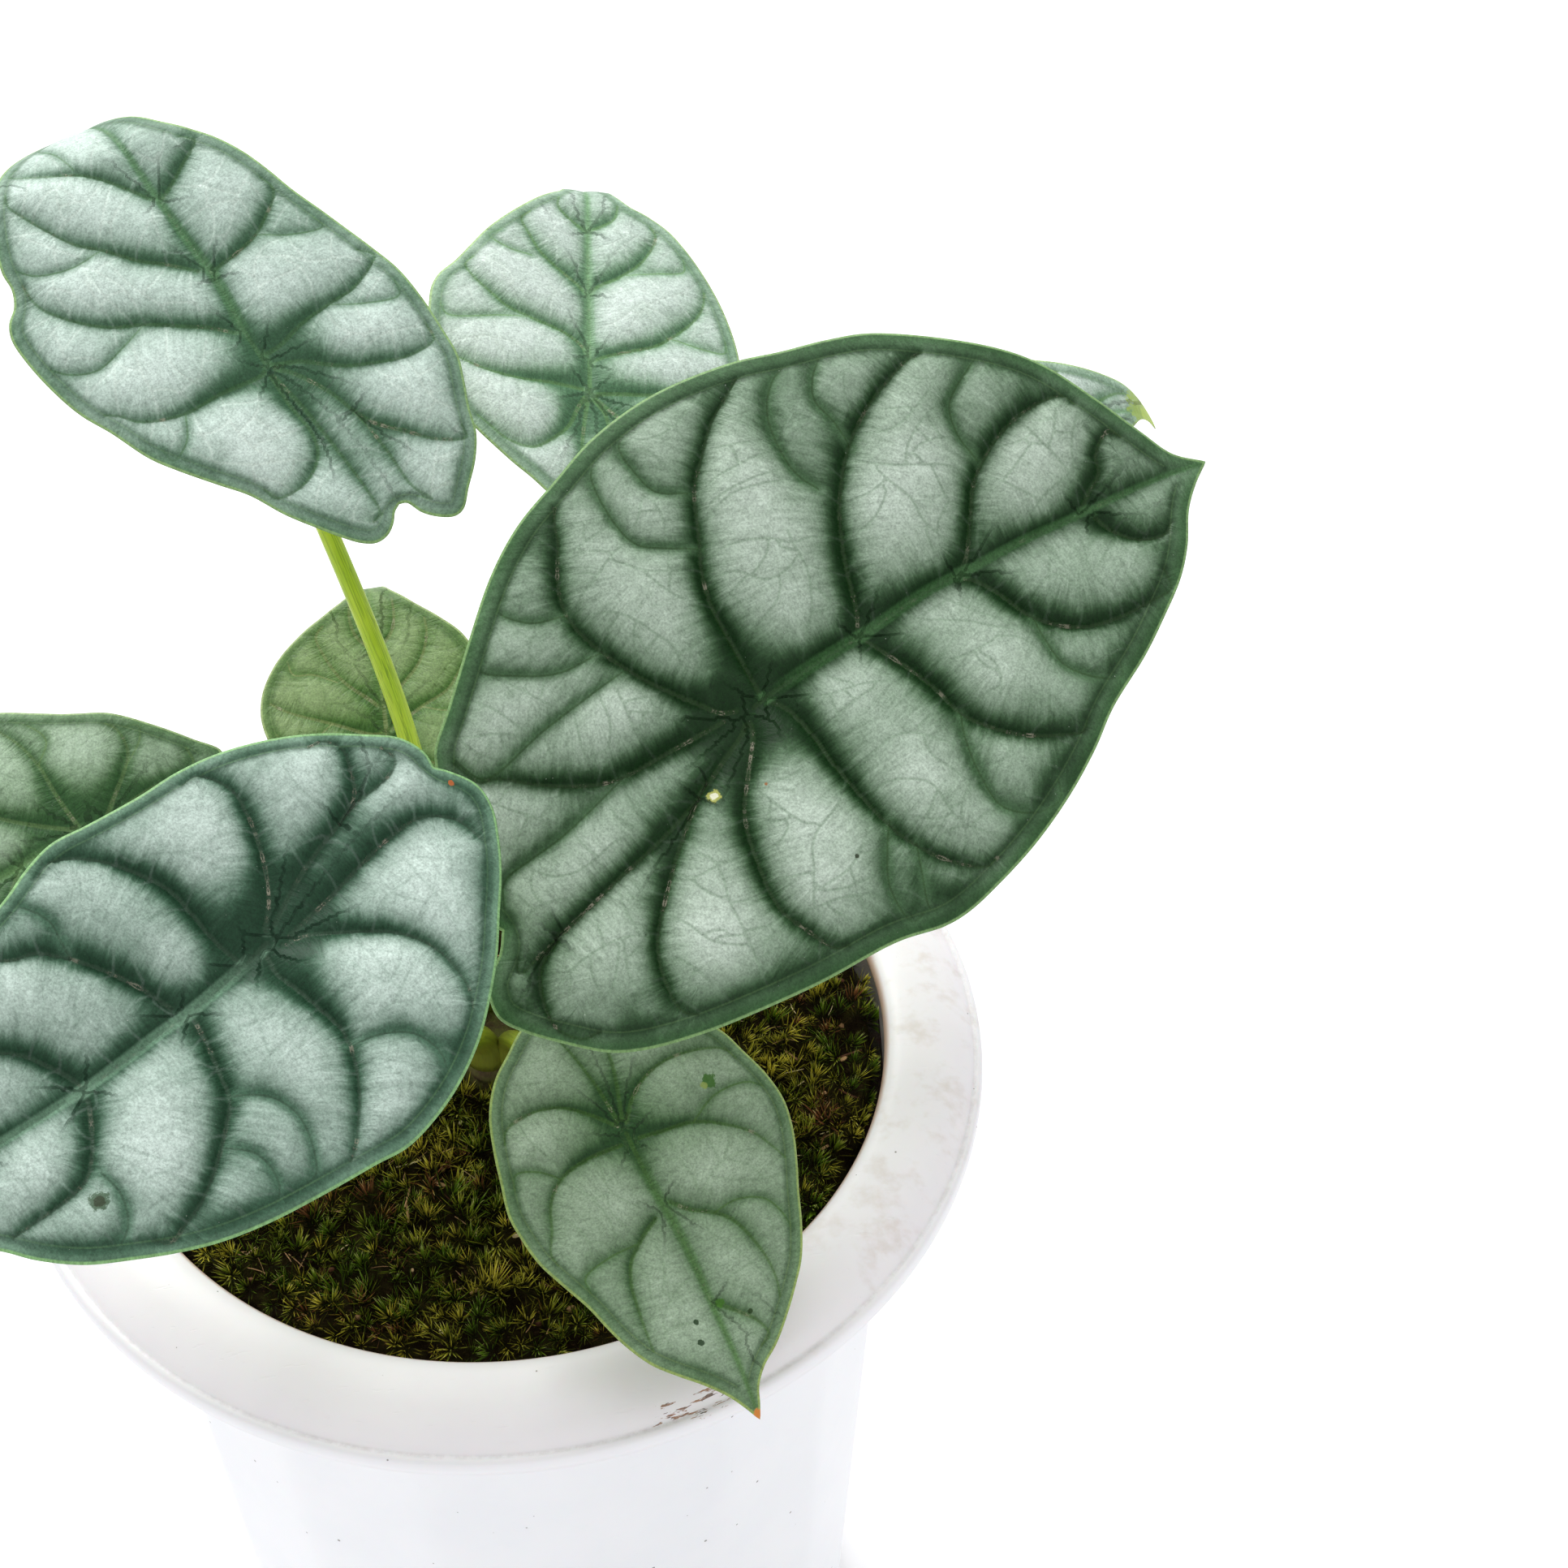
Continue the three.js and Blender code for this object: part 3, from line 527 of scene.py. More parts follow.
            (24, -6), (22.5, -9), (20, -14), (14, -20.5), (8, -26), (3, -30), (0, -26)],
        left=[(0, -26), (-4, -30), (-14, -23.5), (-22, -14), (-27, -4), (-30.5, 8), (-31.5, 22), (-29, 35),
            (-25, 46), (-17, 57), (-7, 65), (-3, 68.5), (0, 72.5)],
        midrib=[(0, 0), (-0.5, 8), (-1.5, 17), (-1.5, 30), (-1, 50), (0, 71.5)],
        ribs=[[(1, 2), (5, 8), (10, 14), (16, 19), (22, 24), (26, 31)],
            [(1, 1), (8, 2), (16, 2.5), (22, 4), (26, 6)],
            [(0, -4), (4, -8), (8, -12), (11, -14), (16, -14)], [(0, -3), (2, -14), (3, -24)],
            [(-1, 1), (-8, 2), (-15, 3), (-21, 6), (-26, 10)],
            [(-1, 14), (-7, 19), (-14, 24), (-20, 30), (-24, 37)],
            [(-1, 34), (-7, 39), (-13, 45), (-16, 53)], [(-1, 30), (6, 35), (14, 41), (18, 47)],
            [(-1, -2), (-6, -9), (-13, -14), (-20, -13)], [(-0.5, 52), (-4, 56), (-6, 61)],
            [(-0.5, 50), (5, 54), (7, 59)]],
        veins=[[(16, 2.5), (20, -1), (25, 1)], [(8, -12), (12, -17), (15, -18)],
            [(-14, 24), (-21, 22), (-28, 24)], [(-13, 45), (-19, 44), (-24, 45)]],
    ),
    "low_back": dict(
        navel=(-16.5, 39, 279), heading=91, climb=19.5, roll=-4, form=(0.15, 0.003, 31, 0.1, 0.002),
        stalk=(3.2, 100, (0, 2, 2)), spacing=0.68, border=1.8, depth=1.3, reach=3.0, look="young",
        right=[(0, 45.5), (2, 40), (4, 35.5), (8, 31), (14, 25.5), (18.5, 20.5), (21.5, 13), (22, 5),
            (20.5, -3), (17, -9.5), (9, -14.8), (4, -15.5), (1, -12)],
        left=[(1, -12), (-3, -16), (-11, -15), (-18, -10), (-22, -5), (-24.4, 1.5), (-25.4, 5.5), (-25.6, 9),
            (-24.6, 14), (-21, 20.5), (-15, 26.5), (-10, 30.2), (-6, 33.5), (-3, 38), (0, 45.5)],
        midrib=[(0, 0), (0, 10), (-0.5, 20), (-0.5, 30), (0, 44)],
        ribs=[[(-1, 0.5), (-3, 0.5), (-11, 4), (-20, 8)],
            [(-1, 7), (-3, 9), (-8, 14), (-11.5, 21), (-12.5, 25)], [(1, 1), (8, 5), (14, 8), (17, 12)],
            [(1, 8), (2, 9), (5, 11.5), (9, 16), (11, 22)], [(-0.5, 20), (-4, 24), (-5, 28)],
            [(0, 20), (3.5, 24), (4.5, 28)], [(-1, -1), (-6, -6), (-13, -8)], [(1, -1), (5, -6), (11, -9)]],
        veins=[[(-9, 13.5), (-14, 16), (-18, 16.5)], [(-11, 4), (-15, 1), (-21, 1)],
            [(8, 5), (13, 3), (18, 3)]],
    ),
    "right_back": dict(
        navel=(82, 57.5, 321), heading=8.5, climb=1.5, roll=20, form=(0.2, 0.004, 45, 0.01, 0.002),
        stalk=(4.2, 15, (4, 2, 0)), spacing=0.95, border=2.2, depth=2.2, reach=3.8, look="pale", curl=0.085,
        right=[(-3.5, 75.4), (-3.2, 73), (-2, 70), (0.5, 67), (6, 60), (11, 53.5), (17, 44), (23, 32),
            (27, 20), (29, 8), (28, -5), (25, -15), (19, -24), (10, -32), (6, -32.5), (3, -28)],
        left=[(3, -28), (-2, -32.5), (-10, -31.5), (-20, -24), (-28, -15), (-31, -6), (-30.4, 5), (-29, 18),
            (-25.5, 29), (-20.5, 40), (-17, 48), (-15, 55), (-12.5, 62), (-9, 69), (-6, 73.2), (-4.6, 74.8),
            (-3.5, 75.4)],
        midrib=[(0, 0), (-0.5, 20), (-1.5, 45), (-3.5, 74.8)],
        ribs=[[(-1, 1), (-9, 2), (-16, 3), (-22, 6), (-26, 10)],
            [(-1, 16), (-7, 20), (-14, 24), (-19, 30), (-21, 34)],
            [(-1.4, 36), (-6, 40), (-11, 45), (-13, 51)], [(-2, 56), (-5, 60), (-7, 65)],
            [(1, 1), (9, 2), (16, 3), (22, 6), (25, 10)], [(0, 16), (7, 20), (14, 25), (18, 31), (20, 35)],
            [(-1, 36), (4, 40), (8, 45), (10, 50)], [(-1.6, 56), (1, 59), (1.5, 62)],
            [(-1, -2), (-6, -9), (-14, -13), (-22, -12)], [(-0.5, -3), (-3, -14), (-6, -26)],
            [(1, -2), (6, -9), (13, -13), (20, -12)], [(0.5, -3), (4, -14), (7, -27)]],
        veins=[[(-14, 24), (-20, 23), (-25, 25)], [(-11, 45), (-14, 43), (-18, 44)],
            [(14, 25), (19, 23), (24, 24)]],
    ),
}


def blade_frame(leaf):
    """The navel and the directions across, along and out of the upper side."""
    heading, climb, roll = (math.radians(leaf[k]) for k in ("heading", "climb", "roll"))
    along = on_circle(math.cos(climb), heading, math.sin(climb))
    level = unit(np.cross(along, UP))
    face = np.cross(level, along) * math.cos(roll) + level * math.sin(roll)
    return np.array(leaf["navel"], float), np.cross(along, face), along, face


def blade_height(form, x, y):
    """The bent middle surface of the blade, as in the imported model."""
    lift, fall, tip_from, tip_bend, lobe_bend = form
    return (lift * (np.sqrt(x * x + 4) - 2) - fall * x * x - tip_bend * np.maximum(0, y - tip_from) ** 2
            - lobe_bend * np.maximum(0, -y) ** 2)


def border_vein(loop, inset):
    """The vein that runs round the blade inside its margin, as one or more lines."""
    heading = unit(np.roll(loop, -1, axis=0) - np.roll(loop, 1, axis=0))
    inner = loop + inset * np.stack([heading[:, 1], -heading[:, 0]], axis=1)
    clear = Lines([closed(loop)]).nearest(inner)[0] > 0.94 * inset
    keep = inside(inner, loop) & clear
    lines, current = [], []
    for place, kept in zip(inner, keep):
        if kept and (not current or np.linalg.norm(place - current[-1]) < 2.5):
            current.append(place)
        elif kept:
            lines.append(current)
            current = [place]
    lines.append(current)
    window = np.ones(9) / 9
    longer = [np.array(line) for line in lines if len(line) > 12]
    return [np.stack([np.convolve(line[:, k], window, "valid") for k in (0, 1)], axis=1) for line in longer]


def carried_to(line, target, within=9.0, ahead=3.0):
    """The line with its far end led on to join the target lines, bending towards the tip."""
    end = line[-1]
    away = np.linalg.norm(target.points - end, axis=1)
    i = int(away.argmin())
    if away[i] > within:
        return line
    same = np.flatnonzero(target.line == target.line[i])
    near = same[np.abs(target.along[same] - target.along[i]) < ahead]
    join = target.points[near[target.points[near][:, 1].argmax()]]
    return np.vstack([line, join]) if np.linalg.norm(join - end) > 0.5 else line


class Taken:
    """A coarse map of the places that veins already run through."""

    cell = 0.5

    def __init__(self, lines):
        self.found = {}
        for line in lines:
            self.add(line)

    def key(self, place):
        return int(math.floor(place[0] / self.cell)), int(math.floor(place[1] / self.cell))

    def add(self, line):
        for place in line:
            self.found[self.key(place)] = place

    def close_to(self, place, limit):
        """The nearest taken place within the limit, or none."""
        column, row = self.key(place)
        best, choice = limit, None
        for i in range(column - 2, column + 3):
            for j in range(row - 2, row + 3):
                other = self.found.get((i, j))
                if other is not None:
                    away = math.hypot(other[0] - place[0], other[1] - place[1])
                    if away < best:
                        best, choice = away, other
        return choice


def turned_by(direction, angle):
    cosine, sine = math.cos(angle), math.sin(angle)
    x, y = direction
    return np.array([cosine * x - sine * y, sine * x + cosine * y])


def wander(start, direction, taken, loop, chance, step=0.6, longest=26.0):
    """One fine vein, as a list of at most one line. Its places are then taken too."""
    direction = direction / np.linalg.norm(direction)
    turn = chance.uniform(-0.05, 0.05)
    line = [start]
    for count in range(int(longest / step)):
        turn = 0.85 * turn + chance.normal(0, 0.03)
        direction = turned_by(direction, turn)
        place = line[-1] + step * direction
        met = taken.close_to(place, 0.95) if count > 2 else None
        if met is not None:
            line.append(met)
            break
        line.append(place)
    line = np.array(line)
    if len(line) < 5 or not inside(line[1:], loop).all():
        return []
    taken.add(line[2:])
    return [line]


def grow_fine_veins(main, loop, chance, apart):
    """Fine veins that leave the larger ones, wander outward, and stop where they meet another."""
    taken = Taken(main)
    starts = []
    for line in main:
        along = lengths_along(line)
        if along[-1] < 6:
            continue
        for side in (-1, 1):
            at = apart * chance.uniform(0.4, 0.9)
            while at < along[-1] - 2:
                k = min(max(int(np.searchsorted(along, at)), 1), len(line) - 2)
                starts.append((line, k, side))
                at += apart * chance.uniform(0.75, 1.35)
    grown = []
    for i in chance.permutation(len(starts)):
        line, k, side = starts[i]
        heading = line[k + 1] - line[k - 1]
        angle = side * (math.pi / 2 - chance.uniform(0.1, 0.6))
        grown += wander(line[k], turned_by(heading, angle), taken, loop, chance)
    for line in list(grown):
        if len(line) > 16 and chance.random() < 0.7:
            k = int(chance.integers(6, len(line) - 6))
            angle = chance.choice([-1, 1]) * chance.uniform(0.9, 1.3)
            grown += wander(line[k], turned_by(line[k + 1] - line[k - 1], angle), taken, loop, chance)
    return grown


def triangulated(loop, lines, spacing):
    """Evenly sized triangles inside the loop, with edges along the lines."""
    low, high = loop.min(0), loop.max(0)
    row_height = spacing * math.sqrt(3) / 2
    ys = np.arange(low[1], high[1], row_height)
    xs = np.arange(low[0], high[0], spacing)
    grid_x = xs[None, :] + (np.arange(len(ys)) % 2)[:, None] * spacing / 2
    grid = np.stack([grid_x, np.repeat(ys[:, None], len(xs), axis=1)], axis=-1).reshape(-1, 2)
    grid = grid[inside(grid, loop)]
    grid = grid[Lines([closed(loop)]).nearest(grid)[0] > 0.55 * spacing]
    grid = grid[Lines(lines).nearest(grid)[0] > 0.42 * spacing]
    points = [loop]
    count = len(loop)
    edges = [(i, (i + 1) % count) for i in range(count)]
    for line in lines:
        edges += [(count + i, count + i + 1) for i in range(len(line) - 1)]
        points.append(line)
        count += len(line)
    points.append(grid)
    vectors = [Vector(p) for p in np.vstack(points)]
    places, _, faces, _, _, _ = geometry.delaunay_2d_cdt(vectors, edges, [], 1, 1e-3)
    return np.array([tuple(p) for p in places]), np.array(faces)


def relaxed(start, faces, aim, hold, rounds=320):
    """Lets a value spread over the mesh while each point is drawn to its aim as firmly as hold says."""
    a = np.concatenate([faces[:, 0], faces[:, 1], faces[:, 2]])
    b = np.concatenate([faces[:, 1], faces[:, 2], faces[:, 0]])
    first, second = np.concatenate([a, b]), np.concatenate([b, a])
    count = len(start)
    degree = np.bincount(first, minlength=count)
    value = start.copy()
    for _ in range(rounds):
        total = np.bincount(first, weights=value[second], minlength=count)
        value = (total + hold * aim * degree) / (degree * (1 + hold))
    return value


def slope(places, faces, value):
    """How fast a value rises over a flat mesh, at each of its points."""
    a, b, c = (places[faces[:, i]] for i in range(3))
    va, vb, vc = (value[faces[:, i]][:, None] for i in range(3))
    area = (b[:, 0] - a[:, 0]) * (c[:, 1] - a[:, 1]) - (b[:, 1] - a[:, 1]) * (c[:, 0] - a[:, 0])
    edges = va * (c - b) + vb * (a - c) + vc * (b - a)
    rise = np.stack([-edges[:, 1], edges[:, 0]], axis=1)
    total = np.zeros((len(places), 3))
    for i in range(3):
        np.add.at(total, faces[:, i], np.column_stack([rise, area]))
    return total[:, :2] / np.maximum(np.abs(total[:, 2:]), 1e-9)


def swelling(leaf, faces, away, toward_end):
    """How far the tissue stands up, from about 0 in the sunken veins to 1 between them."""
    pinned = (
        ("fine", 0.93, 0.02),
        ("vein", 0.36, 1.2),
        ("border", 0.34, 1.5),
        ("rib", 0.02 + 0.22 * toward_end ** 2, 50.0),
        ("midrib", 0.25 * toward_end ** 2, 50.0),
        ("edge", 0.3, 5.0),
    )
    hold = np.full(len(toward_end), (leaf["spacing"] / (2 * leaf["reach"])) ** 2)
    aim = np.ones(len(toward_end))
    for kind, level, grip in pinned:
        here = away[kind] < ON_LINE
        aim = np.where(here, level, aim)
        hold = np.where(here, grip, hold)
    start = 1 - np.exp(-np.minimum(away["rib"], away["edge"]) / leaf["reach"])
    return relaxed(start, faces, aim, hold)


def margin(flat, faces):
    """The outer edges of a flat mesh, and their first points moved a little outward."""
    count = len(flat)
    edges = np.concatenate([faces[:, [0, 1]], faces[:, [1, 2]], faces[:, [2, 0]]])
    outer = edges[~np.isin(edges @ (count, 1), edges @ (1, count))]
    heading = unit(flat[outer[:, 1]] - flat[outer[:, 0]])
    push = np.zeros((count, 2))
    for end in outer.T:
        np.add.at(push, end, np.stack([heading[:, 1], -heading[:, 0]], axis=1))
    ring = outer[:, 0]
    size = np.linalg.norm(push[ring], axis=1)[:, None]
    return outer, flat[ring] + EDGE_HALF * push[ring] / np.maximum(size, 1e-6)


def make_leaf(name, leaf, finish, chance):
    """A blade with sunken veins, swollen tissue between them and a rounded margin."""
    spacing = leaf["spacing"]
    right, left = (curve_through(leaf[side], spacing) for side in ("right", "left"))
    loop = np.vstack([right[:-1], left[:-1]])
    border = border_vein(loop, leaf["border"])
    rim = Lines(border)
    midrib = curve_through(leaf["midrib"], spacing)
    ribs, veins = (
        [curve_through(carried_to(np.array(line, float), rim), spacing) for line in leaf[kind]]
        for kind in ("ribs", "veins")
    )
    main = [midrib] + ribs + veins + border
    fine = [respaced(line, spacing) for line in grow_fine_veins(main, loop, chance, FINE_APART)]
    flat, faces = triangulated(loop, main + fine, spacing)
    corners = flat[faces]
    turn = np.cross(corners[:, 1] - corners[:, 0], corners[:, 2] - corners[:, 0])
    faces = np.where(turn[:, None] > 0, faces, faces[:, ::-1])

    families = {"midrib": [midrib], "vein": veins, "border": border, "fine": fine, "edge": [closed(loop)]}
    away = {kind: Lines(lines).nearest(flat)[0] for kind, lines in families.items()}
    away["rib"], travelled, line, length = Lines([midrib] + ribs).nearest(flat)
    toward_end = travelled / np.maximum(length, 1)
    swell = swelling(leaf, faces, away, toward_end)

    navel, across, along, face = blade_frame(leaf)
    # Painted shade: how steeply each slope faces away from the back-left lamp.
    weak = -slope(flat, faces, swell) @ (across.dot(SHADED_SIDE), along.dot(SHADED_SIDE))
    x, y = flat.T
    middle = blade_height(leaf["form"], x, y) + leaf["depth"] * (swell - SUNKEN)
    middle += 0.12 * np.sin(x / 6.1 + 1.3) * np.sin(y / 7.7)
    middle -= leaf.get("curl", 0.0) * np.maximum(0, y - y.max() + 9.0) ** 2
    half = EDGE_HALF + 0.22 * smooth_step(away["edge"], 0, 3)
    rib_depth = 1.5 * np.exp(-(away["rib"] / 1.3) ** 2) * (1 - 0.75 * toward_end)
    rib_depth *= smooth_step(away["edge"], 0.5, 6)
    rib_depth += 0.45 * np.exp(-(away["vein"] / 0.9) ** 2) * smooth_step(away["edge"], 0.5, 4)

    def placed(flat, height):
        return navel + flat[:, :1] * across + flat[:, 1:] * along + height[:, None] * face

    count = len(flat)
    outer, ring_flat = margin(flat, faces)
    a, b = outer.T
    ring = a
    index = np.zeros(count, int)
    index[ring] = 2 * count + np.arange(len(ring))
    upper_side = np.stack([b, a, index[a], index[b]], axis=1)
    lower_side = np.stack([index[b], index[a], a + count, b + count], axis=1)
    all_faces = [np.vstack([faces, faces[:, ::-1] + count]), np.vstack([upper_side, lower_side])]
    upper, lower = placed(flat, middle + half), placed(flat, middle - half - rib_depth)
    places = np.vstack([upper, lower, placed(ring_flat, middle[ring])])

    kept = {"from_" + kind: distance for kind, distance in away.items()}
    kept.update(along_rib=travelled + RIB_APART * line, toward_end=toward_end, swell=swell, weak=weak)
    measures = {key: np.concatenate([values, values, values[ring]]) for key, values in kept.items()}
    measures["from_edge"][2 * count:] = -0.1
    flat_place = np.column_stack([flat, np.zeros(count)])
    measures["leaf_place"] = np.vstack([flat_place, flat_place + (0, 0, 9), flat_place[ring]])
    measures["under"] = np.repeat([0.0, 1.0, 0.3], [count, count, len(ring)])
    piece = build("blade_" + name, places, all_faces, finish, measures)
    settle(piece, "blade", "leaf_blade_" + name)


# In each look, the number for slopes facing away from the lamp sets how strongly painted shade darkens them.
LOOKS = {
    "deep": dict(silver=(0.27, 0.345, 0.27), cool=(0.47, 0.54, 0.48), green=(0.05, 0.108, 0.048),
                 fold=(0.005, 0.024, 0.005), rib=(0.02, 0.05, 0.012), edge=(0.15, 0.26, 0.10),
                 band=(0.05, 0.13, 0.045), dark=(0.34, 0.96), fine=0.36, hairs=0.03, weak=1.2),
    "blue": dict(silver=(0.31, 0.395, 0.345), cool=(0.47, 0.55, 0.51), green=(0.05, 0.115, 0.07),
                 fold=(0.010, 0.038, 0.018), rib=(0.03, 0.06, 0.035), edge=(0.18, 0.34, 0.14),
                 band=(0.15, 0.27, 0.18), dark=(0.30, 0.90), fine=0.16, hairs=0.07, weak=0.9),
    "plain": dict(silver=(0.34, 0.43, 0.38), cool=(0.47, 0.55, 0.51), green=(0.10, 0.18, 0.12),
                  fold=(0.03, 0.08, 0.04), rib=(0.05, 0.12, 0.04), edge=(0.20, 0.32, 0.13),
                  band=(0.07, 0.16, 0.07), dark=(0.16, 0.80), fine=0.18, hairs=0.10, weak=0.85,
                  thread=(0.62, 0.68, 0.62)),
    "pale": dict(silver=(0.375, 0.445, 0.405), cool=(0.495, 0.56, 0.525), green=(0.14, 0.24, 0.15),
                 fold=(0.05, 0.12, 0.06), rib=(0.10, 0.20, 0.06), edge=(0.26, 0.38, 0.17),
                 band=(0.14, 0.26, 0.14), dark=(0.14, 0.76), fine=0.14, hairs=0.08, weak=0.7,
                 thread=(0.66, 0.72, 0.66)),
    "dull": dict(silver=(0.195, 0.262, 0.182), cool=(0.38, 0.46, 0.37), green=(0.066, 0.128, 0.056),
                 fold=(0.016, 0.052, 0.015), rib=(0.05, 0.11, 0.02), edge=(0.22, 0.30, 0.09),
                 band=(0.07, 0.15, 0.05), dark=(0.02, 0.86), fine=0.2, hairs=0.03, weak=0.8),
    "olive": dict(silver=(0.265, 0.355, 0.25), cool=(0.37, 0.46, 0.37), green=(0.055, 0.12, 0.045),
                  fold=(0.018, 0.06, 0.016), rib=(0.09, 0.15, 0.05), edge=(0.22, 0.32, 0.14),
                  band=(0.08, 0.17, 0.06), dark=(0.20, 0.84), fine=0.12, hairs=0.03, weak=0.6),
    "young": dict(silver=(0.17, 0.24, 0.105), cool=(0.24, 0.32, 0.16), green=(0.07, 0.145, 0.035),
                  fold=(0.035, 0.09, 0.018), rib=(0.20, 0.22, 0.09), edge=(0.28, 0.36, 0.16),
                  band=(0.10, 0.19, 0.05), dark=(0.06, 0.66), fine=0.14, hairs=0.03, weak=0.4),
}


# Small marks on some blades: across, along, radius and colour.
MARKS = {
    "right_front": [(11, -15, 1.35, (0.42, 0.44, 0.10)), (11, -15, 0.8, (0.80, 0.80, 0.62)),
                    (34, 1, 0.5, (0.02, 0.03, 0.01)), (14, -6, 0.35, (0.30, 0.12, 0.04))],
    "left_front": [(-23, 49, 2.0, (0.05, 0.10, 0.05)), (-23, 49, 1.1, (0.03, 0.045, 0.02)),
                   (7, -44, 0.6, (0.45, 0.12, 0.03))],
    "low_front": [(-19, -3, 1.6, (0.05, 0.15, 0.02)), (-17.6, -2.4, 0.8, (0.30, 0.38, 0.10)),
                  (-2.5, 38, 1.0, (0.06, 0.18, 0.02)), (3.8, 40, 0.6, (0.012, 0.04, 0.01)),
                  (4.6, 44, 0.75, (0.012, 0.04, 0.01)), (-7, 42, 0.5, (0.02, 0.05, 0.01)),
                  (-0.5, 60, 1.0, (0.75, 0.25, 0.05))],
    "right_back": [(-4, 74, 7.0, (0.34, 0.48, 0.10)), (-3.6, 75, 4.5, (0.46, 0.62, 0.10))],
}


def leaf_finish(name, look, border, marks=()):
    """Silver tissue that turns dark green in the folds, with painted shade on slopes facing away from the
    lamp, fine grain, corky ribs and a pale underside.
    """
    f = Finish("leaf_" + name)
    place = f.where("leaf_place")
    from_rib, from_midrib, from_vein, from_fine, from_edge, from_border = f.measures(
        "from_rib", "from_midrib", "from_vein", "from_fine", "from_edge", "from_border")
    along_rib, toward_end, swell, weak, under = f.measures(
        "along_rib", "toward_end", "swell", "weak", "under")
    under = under.ramp(0.35, 0.65)
    from_navel = f.vector("LENGTH", place, out=1)

    grain = f.noise(place, 0.46, 2.0, 0.7)
    speckle = f.noise(f.shift(place, 31, 7, 3), 1.1, 3.0, 0.75)
    cloud = f.noise(f.shift(place, 5, 3, 1), 14, 3.0)
    broad = f.noise(f.shift(place, 50, 20, 6), 24, 1.0)
    streak = f.noise(f.place(along_rib, from_rib * 0.13), 1.15, 2.5, 0.6) - 0.5
    hair = f.noise(f.place(along_rib, from_rib * 0.2, 4.0), 0.45, 2.0, 0.5) - 0.5

    dark_from, dark_to = look["dark"]
    # Painted shade darkens the slopes that face away from the back-left lamp.
    shade = swell - weak.at_most(0.3) * look["weak"] + streak * 0.22 + hair * 0.08
    shade = shade + (cloud - 0.5) * 0.2 + (broad - 0.5) * 0.5
    shade = shade - from_navel.ramp(17.0, 3.0) * 0.24
    shade = shade + toward_end * from_rib.ramp(8.0, 1.0) * 0.12
    light = shade.ramp(dark_from, dark_to)
    deep = shade.ramp(dark_from - 0.14, dark_from + 0.3)
    # Panel centres turn to the brighter silver: partly the leaf's own silver, partly painted sheen.
    silver_and_sheen = shade.ramp(dark_to - 0.25, dark_to + 0.25) * 0.75 + cloud * 0.3
    silver = f.blend(silver_and_sheen, look["silver"], look["cool"])
    greener = f.blend(0.45, silver, look["green"])
    silver = f.blend(f.noise(f.shift(place, 9, 2, 8), 6, 2.0).ramp(0.45, 0.8) * 0.5, silver, greener)

    fine_line, beside_fine = from_fine.ramp(0.42, 0.05), from_fine.ramp(1.6, 0.2)
    hairs = fine_line * from_navel.ramp(6.0, 22.0) * look["hairs"] * (1.0 - light)
    vein_shade = (from_vein + hair * 0.9).ramp(1.9, 0.0)
    outside = (from_edge + (cloud - 0.5) * 1.5).ramp(border + 0.9, border - 0.7)
    rolled = f.blend(from_edge.ramp(0.6, border * 0.7), look["band"], look["green"])
    rib_line = (0.5 - toward_end * 0.25 - from_rib).ramp(-0.15, 0.2)
    mid_line = (1.35 - toward_end * 0.8 - from_midrib).ramp(-0.3, 0.4) * along_rib.ramp(1.5, 14.0)
    patchy = f.noise(f.place(along_rib, 3.0, 9.0), 7.0, 2.0).ramp(0.50, 0.68)
    cork = f.noise(f.place(along_rib * 0.6, from_rib * 1.3, 9.0), 0.8, 3.0, 0.75).ramp(0.52, 0.6)
    scars = cork * patchy * (0.34 - from_rib).ramp(-0.15, 0.15) * (1.0 - mid_line * 0.8)
    flecks = f.noise(f.shift(place, 70, 20, 2), 0.5, 1.0, 0.5).ramp(0.78, 0.84)
    tissue = f.layered(
        look["green"],
        (light, silver),
        (1 - deep, look["fold"]),
        (fine_line * look["fine"] * light, look.get("thread", look["green"])),
        (beside_fine * 0.06, look["green"]),
        (hairs, look["cool"]),
        (vein_shade * 0.7, look["green"]),
        (from_vein.ramp(0.3, 0.08) * 0.55, look["rib"]),
        (outside * (0.1 + broad * 0.6), rolled),
        ((from_border + hair * 0.8).ramp(1.4, 0.1) * 0.55, look["fold"]),
        (from_border.ramp(0.24, 0.06) * cloud * 0.25, look["edge"]),
        (rib_line * 0.45, look["rib"]),
        (mid_line * 0.6, look["band"]),
        (scars * 0.6, (0.34, 0.31, 0.24)),
        (flecks * 0.5, (0.55, 0.58, 0.52)),
        (from_edge.ramp(0.42, 0.12), look["edge"]),
    )
    bright = 0.95 + grain.ramp(0.32, 0.68) * 0.44 + speckle.ramp(0.3, 0.7) * 0.34
    bright = bright + streak * 0.4 + hair * 0.3
    tissue = f.blend(1.0, tissue, f.place(bright, bright, bright), "MULTIPLY")
    for x, y, radius, color in marks:
        away = f.vector("DISTANCE", place, (x, y, 0), out=1)
        spot = (away + (speckle - 0.5) * radius * 1.5).ramp(radius, radius * 0.75)
        tissue = f.blend(spot * 0.9, tissue, color)

